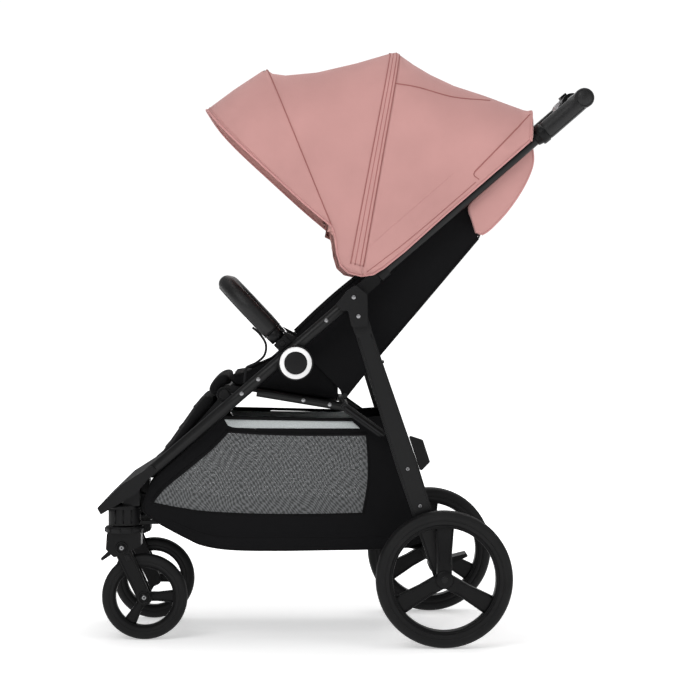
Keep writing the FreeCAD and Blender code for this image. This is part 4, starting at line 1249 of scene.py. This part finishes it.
bag_front = [BAG_BASE[0], (-0.38, 0.275), (-0.37, 0.301), (-0.349, 0.325), (-0.288, 0.3785), BAG_TOP[0]]
bag_back = [BAG_BASE[-1], (0.128, 0.31), BAG_TOP[-1]]
bag_edge = bag_front[::-1] + BAG_BASE[1:] + bag_back[1:]
basket_bits = []
for word, sign in SIDES.items():
    wall = bag_patch(f"basket_side_{word}", BAG_BASE, BAG_TOP, bag_front, bag_back, 90, 170, sign, 0.0,
                     FABRIC_SIDE)
    opening = outline_of(WINDOW_LOW, WINDOW_BACK, WINDOW_HIGH[::-1], WINDOW_FRONT[::-1])
    tape = outline_of(STRIP_LOW, STRIP_HIGH[::-1])
    work = bmesh.new()
    work.from_mesh(wall.data)
    gone = [f for f in work.faces for c in (f.calc_center_median(),)
            if within(c.x, c.z, opening) or within(c.x, c.z, tape)]
    bmesh.ops.delete(work, geom=gone, context="FACES")
    work.to_mesh(wall.data)
    work.free()
    modify(wall, "SOLIDIFY", thickness=0.0012, offset=0)
    net = bag_patch(f"basket_net_{word}", WINDOW_LOW, WINDOW_HIGH, WINDOW_FRONT, WINDOW_BACK, 40, 90, sign,
                    -0.0004, NET)
    strip = bag_patch(f"basket_strip_{word}", STRIP_LOW, STRIP_HIGH, [STRIP_LOW[0], STRIP_HIGH[0]],
                      [STRIP_LOW[-1], STRIP_HIGH[-1]], 5, 60, sign, 0.0004, STRIP)
    modify(strip, "SOLIDIFY", thickness=0.0006, offset=0)
    basket_bits += [wall, net, strip]
    for label, row, r in (("low", WINDOW_LOW, 0.0017), ("high", WINDOW_HIGH, 0.003),
                          ("front", WINDOW_FRONT, 0.003), ("back", WINDOW_BACK, 0.002)):
        basket_bits.append(sweep(f"basket_net_edge_{label}_{word}", bag_curve(row, 60, sign, 0.0004), r,
                                 BINDING, segments=8))
    basket_bits.append(sweep(f"basket_piping_{word}", bag_curve(bag_edge, 160, sign, -0.0004), 0.0019,
                             BINDING, segments=8))
    path = bag_curve([(-0.33, 0.231), (-0.25, 0.203), (-0.13, 0.1995), (0.05, 0.2), (0.14, 0.204)], 80,
                     sign, 0.0002)
    basket_bits.append(sweep(f"basket_fold_{word}", path, 0.0011, BINDING, segments=6))

profile = side_curve(bag_edge, 120)
verts = []
for y in np.linspace(-BAG_HALF + 0.0004, BAG_HALF - 0.0004, 34):
    for p in profile:
        low = min(max((0.3 - p[2]) / 0.12, 0), 1)
        across_share = 1 - (y / BAG_HALF) ** 2
        sag = 0.009 * low * across_share
        out = 0.006 * (1 - low) * across_share * (-1 if p[0] < 0 else 1)
        verts.append(Vector((p[0] + out * math.sin(math.pi * min(max((p[2] - 0.2) / 0.24, 0), 1)), y, p[2]
                             - sag)))
bag = build("basket_bag", verts, sheet_faces(34, 120), FABRIC_SIDE)
modify(bag, "SOLIDIFY", thickness=0.0014, offset=0)
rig.replaces(bag, "basket")
basket_bits.append(bag)
rim_line = bag_curve(BAG_TOP, 60, -1) + bag_curve(BAG_TOP[::-1], 60, 1)
rim_line.append(rim_line[0])
basket_bits.append(sweep("basket_rim", spread(np.array([tuple(p) for p in rim_line]), 260), 0.0031, BINDING,
                         segments=12, caps=False))
for bit in basket_bits:
    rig.slot(bit, "fabric_mesh" if "net" in bit.name and "edge" not in bit.name else "fabric_black")
    hang(bit)

# ---- grips --------------------------------------------------------------------------------


def u_path(half, reach, start, corner, origin, line, steps=14):
    """Route of a U-shaped bar, from the end of its left arm to the end of its right one."""
    pts = []
    for k in range(12):
        pts.append(origin + line * (start + (reach - corner - start) * k / 12) + Vector((0, -half, 0)))
    for k in range(steps + 1):
        turn = math.pi / 2 * k / steps
        pts.append(origin + line * (reach - corner + corner * math.sin(turn))
                   + Vector((0, -half + corner * (1 - math.cos(turn)), 0)))
    for k in range(1, 24):
        pts.append(origin + line * reach + Vector((0, (-half + corner) * (1 - k / 12), 0)))
    return pts + [Vector((p.x, -p.y, p.z)) for p in reversed(pts[:12 + steps + 1])]


def half_of(path, sign, gap):
    """The part of a route on one side, stopping short of the middle."""
    return [p for p in path if p.y * sign > gap]


def round_bump(path, radius, start, end, lift):
    """Radii that swell from start's to end's and dip at both ends."""
    n = len(path)
    out = []
    for i in range(n):
        t = i / (n - 1)
        r = radius + start * (1 - t) + end * t
        edge = min(t, 1 - t) * n
        out.append(r - lift * math.exp(-(edge / 1.4) ** 2))
    return out


def seam_along(name, path, radius, turn, body):
    """A seam on the skin of a round grip, at an angle round its route."""
    pts, guides = frames_along(path)
    line = []
    for p, (_, a, b) in zip(pts, guides):
        line.append(p + a * (math.cos(turn) * (radius + 0.0002)) + b * (math.sin(turn) * (radius + 0.0002)))
    return sweep(name, line, 0.0008, THREAD, body, 6)


HANDLE_Y, HANDLE_REACH = 0.222, 0.5835
handle_route = u_path(HANDLE_Y, HANDLE_REACH, 0.483, 0.03, PIVOT, FRAME_LINE)
for word, sign in SIDES.items():
    route = spread(np.array([tuple(p) for p in half_of(handle_route, sign, 0.047)]), 90)
    if sign > 0:
        route = route[::-1]
    grip = sweep(f"handle_grip_{word}_cover", route, round_bump(route, 0.0179, 0.0002, 0, 0.0018), LEATHER,
                 segments=36)
    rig.ride(grip, "handle_frame")
    if word == "left":
        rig.replaces(grip, "handle_grip")
    seam_along(f"handle_grip_{word}_seam", route[:56], 0.0181, -0.9 * sign, "handle_frame")
    seam_along(f"handle_grip_{word}_seam_low", route[:56], 0.0181, 2.2 * sign, "handle_frame")
    end = on_frame(HANDLE_REACH)
    lathe(f"handle_end_{word}", [(0, 0.238), (0.0138, 0.238), (0.0148, 0.2368), (0.0154, 0.236),
                                 (0.016, 0.2372), (0.0172, 0.2372), (0.0186, 0.2355), (0.019, 0.2325),
                                 (0.019, 0.212), (0.0175, 0.206), (0, 0.206)], end, sign, LEATHER,
          "handle_frame", 64)
    foot = on_frame(0.46, 0, sign * HANDLE_Y)
    tip = on_frame(0.486, 0, sign * HANDLE_Y)
    cuff = [foot.lerp(tip, t) for t in (0, 0.04, 0.34, 0.38, 0.44, 0.9, 0.96, 1.0)]
    sweep(f"handle_cuff_{word}", cuff, [0.0112, 0.0128, 0.0148, 0.0172, 0.0186, 0.019, 0.0184, 0.0165],
          PLASTIC, "handle_frame", 36)
    sweep(f"handle_ferrule_{word}", [on_frame(a, 0, sign * HANDLE_Y)
                                     for a in (0.062, 0.0625, 0.0665, 0.067)],
          [0.0104, 0.0118, 0.0118, 0.0104], PLASTIC, "handle_frame", 32)
latch = [on_frame(0.55, 0.012), on_frame(0.556, 0.0225), on_frame(0.566, 0.025), on_frame(0.568, 0.02)]
slab("fold_latch", flat_pts(latch), -0.026, 0.026, PLASTIC_GREY, "handle_frame", 0.003, 0.001, 3)

bumper_line = heading(133.2)
BUMPER_Y = 0.1995
bumper_route = u_path(BUMPER_Y, 0.16, 0.034, 0.07, BUMPER, bumper_line, 26)
route = spread(np.array([tuple(p) for p in bumper_route]), 200)
grip = sweep("bumper_grip_cover", route, round_bump(route, 0.017, 0, 0, 0.0012), LEATHER, segments=40)
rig.replaces(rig.ride(grip, "bumper"), "bumper_grip")
for number, turn in enumerate((0.0, 1.25, 1.88)):
    seam_along(f"bumper_seam_{number}", route[6:-6], 0.0171, turn, "bumper")
for word, sign in SIDES.items():
    y = sign * BUMPER_Y
    ring = [BUMPER + bumper_line * a + Vector((0, y, 0)) for a in (0.0325, 0.033, 0.0352, 0.0358)]
    sweep(f"bumper_cuff_{word}", ring, [0.016, 0.0172, 0.0172, 0.016], PLASTIC, "bumper", 40)
    neck = [BUMPER + bumper_line * a + Vector((0, y, 0)) for a in (0.0135, 0.0145, 0.022, 0.0318, 0.0324)]
    sweep(f"bumper_neck_{word}", neck, [0.0132, 0.015, 0.0152, 0.0158, 0.015], PLASTIC, "bumper", 36)
on_bumper = on_line(BUMPER, bumper_line, heading(43.2))
shoulder = [on_bumper(0.025, 0.0164), on_bumper(0.0037, 0.0241), on_bumper(-0.013, 0.03),
            on_bumper(-0.022, 0.012), on_bumper(0.002, 0.0128), on_bumper(0.013, 0.016)]
for word, sign in SIDES.items():
    slab(f"bumper_shoulder_{word}", flat_pts(shoulder), sign * 0.1905, sign * 0.2105, PLASTIC,
         "front_frame", 0.003, 0.002, 3)

# ---- wheels -------------------------------------------------------------------------------


def mirror(profile):
    """A profile and its reflection, for both faces of a wheel."""
    return profile + [(r, -y) for r, y in reversed(profile)]


REAR_WHEEL_Y, FRONT_WHEEL_Y = 0.28, 0.16
REAR_TYRE = [(0.103, 0.0156), (0.1055, 0.0168), (0.1088, 0.0182), (0.111, 0.0187), (0.1116, 0.018),
             (0.1124, 0.018), (0.113, 0.019), (0.118, 0.0199), (0.1222, 0.0197), (0.1252, 0.0184),
             (0.1272, 0.0164), (0.1286, 0.0136), (0.1295, 0.0102), (0.1298, 0.0078), (0.1289, 0.0072),
             (0.1289, 0.0056), (0.13, 0.005), (0.13, 0.0016), (0.129, 0.001)]
FRONT_TYRE = [(0.06, 0.0109), (0.0622, 0.0121), (0.065, 0.013), (0.0668, 0.0133), (0.0674, 0.0127),
              (0.068, 0.0127), (0.0685, 0.0135), (0.0725, 0.0139), (0.0762, 0.0136), (0.079, 0.0124),
              (0.081, 0.0104), (0.0824, 0.0074), (0.0828, 0.0056), (0.0821, 0.005), (0.0821, 0.0038),
              (0.083, 0.0032), (0.083, 0.0006)]


def wheel(word, end, centre, tyre_profile, seat, opening, half, first, wide, narrow, hub):
    """A tyre, a thin rim and three broad spokes that rise towards the middle and meet there."""
    body = f"{end}_wheel_{word}"
    ring = mirror(tyre_profile)
    tyre = lathe(f"{end}_tyre_{word}_cover", ring + [ring[0]], centre, 1, RUBBER, body, 128)
    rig.replaces(tyre, f"{end}_tyre_{word}")
    lip = [(opening, half - 0.0042), (opening + 0.0004, half - 0.0022), (opening + 0.0014, half - 0.0012),
           (opening + 0.0024, half - 0.0016), (opening + 0.0029, half - 0.0026),
           (opening + 0.0034, half - 0.0012), (seat - 0.0006, half - 0.0006),
           (seat + 0.0006, half - 0.0016), (seat + 0.0006, half - 0.005)]
    band = mirror(lip)
    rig.replaces(lathe(f"{end}_rim_{word}_cover", band + [band[0]], centre, 1, PLASTIC, body, 128),
                f"{end}_rim_{word}")
    for k in range(3):
        turn = math.radians(first + 120 * k)
        run, rise = Vector((math.cos(turn), 0, math.sin(turn))), Vector((-math.sin(turn), 0,
                                                                         math.cos(turn)))
        face = [centre - run * narrow * 0.4 - rise * narrow, centre + run * (seat * 0.45) - rise * narrow,
                centre + run * (opening + 0.001) - rise * wide, centre + run * (opening + 0.002), centre
                + run * (opening + 0.001) + rise * wide, centre + run * (seat * 0.45) + rise * narrow,
                centre - run * narrow * 0.4 + rise * narrow]
        plate = slab(f"{end}_spoke_{word}_{k}", flat_pts(face), centre.y - half * 0.42, centre.y
                     + half * 0.42, PLASTIC, None, 0.0015, 0.0016, 3)
        apply_all(plate)
        for vert in plate.data.vertices:
            away = math.hypot(vert.co.x - centre.x, vert.co.z - centre.z) / opening
            vert.co.y += math.copysign(half * 0.5 * max(1 - away, 0) ** 0.8, vert.co.y - centre.y)
        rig.ride(plate, body)
        for out in (-1, 1):
            for edge in (-1, 1):
                path = []
                for t in np.linspace(0.3, 0.97, 12):
                    across = edge * ((narrow + (wide - narrow) * max(t - 0.45, 0) / 0.55) - 0.0026)
                    lift = half * (0.42 + 0.5 * (1 - t) ** 0.8)
                    path.append(centre + run * (opening * t) + rise * across + Vector((0, out * lift, 0)))
                sweep(f"{end}_rib_{word}_{k}_{out}_{edge}", path, 0.0017, PLASTIC, body, 10)
    for out in (-1, 1):
        boss = [(0, half * 0.98), (hub * 0.6, half * 0.97), (hub * 0.85, half * 0.93), (hub, half * 0.84),
                (hub, half * 0.2)]
        lathe(f"{end}_hub_{word}_{out}", boss, centre, out, PLASTIC, body, 72)


for word, sign in SIDES.items():
    wheel(word, "rear", REAR_AXLE + Vector((0, sign * REAR_WHEEL_Y, 0)), REAR_TYRE, 0.103, 0.0975, 0.0172,
          90, 0.0185, 0.014, 0.0175)
    wheel(word, "front", FRONT_AXLE + Vector((0, sign * FRONT_WHEEL_Y, 0)), FRONT_TYRE, 0.06, 0.0558,
          0.0122, 0, 0.0125, 0.0085, 0.0105)

# ---- details of the casters, legs and hubs --------------------------------------------------


def screw(name, point, sign, body, radius=0.004, rise=0.0022):
    """Domed head with a hexagonal socket, standing on a face that looks along Y."""
    head = [(radius * 0.38, rise * 0.45), (radius * 0.4, rise * 0.98), (radius * 0.62, rise),
            (radius * 0.9, rise * 0.62), (radius, rise * 0.1), (radius, -0.0006)]
    lathe(f"{name}_head", head, point, sign, METAL, body, 32)
    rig.slot(lathe(f"{name}_socket", [(0, rise * 0.5), (radius * 0.4, rise * 0.5)], point, sign, BINDING,
                  body, 6), "screw_steel")


for word, sign in SIDES.items():
    middle = sign * FRONT_WHEEL_Y
    caster = f"caster_{word}"
    arm_face = middle + sign * 0.0235
    for label, point, radius in (("top", side(-0.4262, 0.179), 0.0125),
                                 ("foot", side(-0.383, 0.083), 0.0128)):
        centre = Vector((point.x, arm_face, point.z))
        boss = [(0, 0.0022), (radius * 0.62, 0.0022), (radius * 0.66, 0.0008), (radius * 0.74, 0.0008),
                (radius * 0.8, 0.0026), (radius * 0.94, 0.0022), (radius, 0.0), (radius, -0.002)]
        lathe(f"fork_boss_{label}_{word}", boss, centre, sign, PLASTIC, caster, 48)
        screw(f"fork_{label}_{word}", centre + Vector((0, sign * 0.002, 0)), sign, caster, 0.0046, 0.0022)
    clip = [side(-0.4215, 0.164), side(-0.413, 0.167), side(-0.4075, 0.1565), side(-0.416, 0.153)]
    slab(f"fork_clip_{word}", flat_pts(clip), arm_face - sign * 0.001, arm_face + sign * 0.0024,
         PLASTIC_SOFT, caster, 0.0015, 0.0008, 3)
    for edge in (-1, 1):
        run = (side(-0.383, 0.083) - side(-0.43, 0.186)).normalized()
        rise = Vector((run.z, 0, -run.x))
        path = [side(-0.43, 0.186) + run * a + rise * (edge * w) + Vector((0, arm_face, 0))
                for a, w in ((0.02, 0.0125), (0.06, 0.0118), (0.098, 0.0102))]
        sweep(f"fork_rib_{word}_{edge}", curve_through(path, 16), 0.0014, PLASTIC, caster, 8)
    pivot = Vector((-0.4226, middle, 0))
    turned(f"caster_ring_{word}", [(0.0325, 0.2196), (0.0362, 0.2188), (0.0366, 0.215), (0.0362, 0.2078),
                                   (0.033, 0.207)], pivot, PLASTIC_SOFT, caster)
    for k in range(10):
        turn = 2 * math.pi * k / 10 + 0.15
        out = Vector((math.cos(turn), math.sin(turn), 0))
        path = [pivot + out * 0.0366 + Vector((0, 0, z)) for z in (0.209, 0.2176)]
        sweep(f"caster_notch_{word}_{k}", path, 0.0016, PLASTIC, caster, 8)
    turned(f"housing_band_{word}", [(0.0312, 0.262), (0.0324, 0.26), (0.0324, 0.256), (0.0312, 0.254)],
           pivot, PLASTIC, "front_frame")
    for k, turn_degrees in enumerate((-120, -90, -60)):
        turn = math.radians(turn_degrees if sign < 0 else -turn_degrees)
        out = Vector((math.cos(turn), math.sin(turn), 0))
        path = [pivot + out * 0.0311 + Vector((0, 0, z)) for z in (0.2265, 0.252)]
        sweep(f"housing_rib_{word}_{k}", path, 0.0013, PLASTIC, "front_frame", 8)

LEG_RUN = (REAR_AXLE - REAR_PIVOT).normalized()
LEG_SIDE = Vector((-LEG_RUN.z, 0, LEG_RUN.x))
if LEG_SIDE.x < 0:
    LEG_SIDE = -LEG_SIDE
LEG_LENGTH = (REAR_AXLE - REAR_PIVOT).length
on_rear_leg = on_line(REAR_PIVOT, LEG_RUN, LEG_SIDE)

for word, sign in SIDES.items():
    face_y = sign * 0.256
    for number, (x, z) in enumerate(((0.123, 0.3365), (0.1465, 0.266))):
        screw(f"rear_leg_{number}_{word}", Vector((x, face_y, z)), sign, "rear_frame", 0.0036, 0.002)
    stud = on_rear_leg(0.097, 0.0172, sign * 0.248)
    sweep(f"rear_leg_stud_{word}", [stud, stud + LEG_SIDE * 0.0022, stud + LEG_SIDE * 0.003],
          [0.0032, 0.003, 0.0012], PLASTIC, "rear_frame", 20)
    sleeve = [on_rear_leg(-0.013, -0.016), on_rear_leg(-0.013, 0.016), on_rear_leg(0.034, 0.0172),
              on_rear_leg(0.034, -0.0172)]
    slab(f"rear_leg_sleeve_{word}", flat_pts(sleeve), sign * 0.2412, sign * 0.2565, PLASTIC_SOFT,
         "rear_frame", 0.008, 0.0015, 3)
    for edge in (-1, 1):
        path = [on_rear_leg(a, edge * w, face_y) for a,
                w in ((0.04, 0.0125), (0.29, 0.0165), (LEG_LENGTH, 0.0135))]
        sweep(f"rear_leg_crease_{word}_{edge}", curve_through(path, 40), 0.0011, TUBE, "rear_frame", 8)

# tube of the seat rail that bends down behind the seat
for word, sign in SIDES.items():
    y = sign * 0.2168
    start, end = side(0.004, 0.452, y), side(0.08, 0.398, y)
    path = curve_through([start, start.lerp(end, 0.25), start.lerp(end, 0.6), end], 24)
    sweep(f"brace_tube_{word}", path, [0.0078] * 24, TUBE, f"strut_{word}", 24, 0.62)

for word, sign in SIDES.items():
    ring = [(0.0122, -0.001), (0.0124, 0.0012), (0.0134, 0.0018), (0.0144, 0.0008), (0.0146, -0.0012)]
    lathe(f"leg_rest_ring_{word}", ring, Vector((LEG_REST.x, sign * 0.19, LEG_REST.z)), sign, PLASTIC_SOFT,
          "front_frame", 64)

# ---- finishes of the CAD pieces -------------------------------------------------------------

SLOT_FINISH = {"tube_black": TUBE, "plastic_black": PLASTIC, "trim_white": PLASTIC_WHITE,
               "screw_steel": METAL, "button_grey": PLASTIC_GREY, "tyre_black": RUBBER,
               "grip_leather": LEATHER, "fabric_black": FABRIC_SIDE, "fabric_pink": FABRIC_PINK,
               "fabric_mesh": NET}
SOFTER = ("frame_bracket", "hub_housings", "hub_caps", "caster_housings", "footrest", "leg_rest_board")
EDGES = {"frame_bracket_left": 0.0022, "frame_bracket_right": 0.0022, "footrest": 0.0034,
         "caster_housings": 0.0022, "caster_fork_left": 0.0018, "caster_fork_right": 0.0018,
         "rear_leg_left": 0.0034, "rear_leg_right": 0.0034, "handle_sockets": 0.002,
         "bumper_sockets": 0.004, "storage_catch": 0.003, "brake_pedal": 0.0012, "swivel_lock_left": 0.001,
         "swivel_lock_right": 0.001, "hub_housings": 0.0012, "fold_housing": 0.0016, "fold_button": 0.0016,
         "brace_left": 0.0022, "brace_right": 0.0022, "hood_mounts": 0.0012, "leg_rest_board": 0.0014,
         "seat_board": 0.0012}
for part in frame["record"]["subparts"]:
    name = part["node"]
    node = nodes[name]
    finish = SLOT_FINISH[part["material_slot"]]
    if name.startswith(SOFTER) or "button" in name:
        finish = PLASTIC_SOFT
    node.data.materials.clear()
    node.data.materials.append(finish)
    if name in EDGES:
        modify(node, "WELD", merge_threshold=0.00002)
        soften(node, EDGES[name], 3, 32)

# ---- declarations ---------------------------------------------------------------------------

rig.sheet(hood_front, (0.98, 0.6), "stretched", ["hood_bow_main", "hood_bow_front"], area=0.34)
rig.sheet(hood_rear, (1.02, 0.56), "stretched", ["hood_bow_main", "handle_tube_left"], area=0.3)
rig.sheet(bag, (0.375, 1.07), "hung", ["seat_frame", "rear_leg_left"])
pieces = bpy.data.objects
for word in SIDES:
    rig.sheet(pieces[f"basket_side_{word}"], (0.545, 0.26), "hung", ["seat_frame", bag], area=0.057)
    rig.sheet(pieces[f"basket_net_{word}"], (0.42, 0.165), "stretched", [f"basket_side_{word}"], area=0.054)
    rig.sheet(pieces[f"basket_strip_{word}"], (0.262, 0.017), "stretched", [f"basket_side_{word}"],
             area=0.0037)
    for piece in (f"back_wing_{word}", f"seat_side_{word}"):
        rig.padded(pieces[piece], fill=0.5)
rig.padded(flap, fill=0.3)
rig.padded(pieces["back_shell"], fill=0.5)
for cover in (hood_front, hood_rear, channel):
    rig.slot(cover, "fabric_pink")

size_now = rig.bounds()
with open("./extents.json", "w") as out:
    json.dump({"cad": [list(p) for p in cad_box], "visual": [list(p) for p in size_now]}, out)
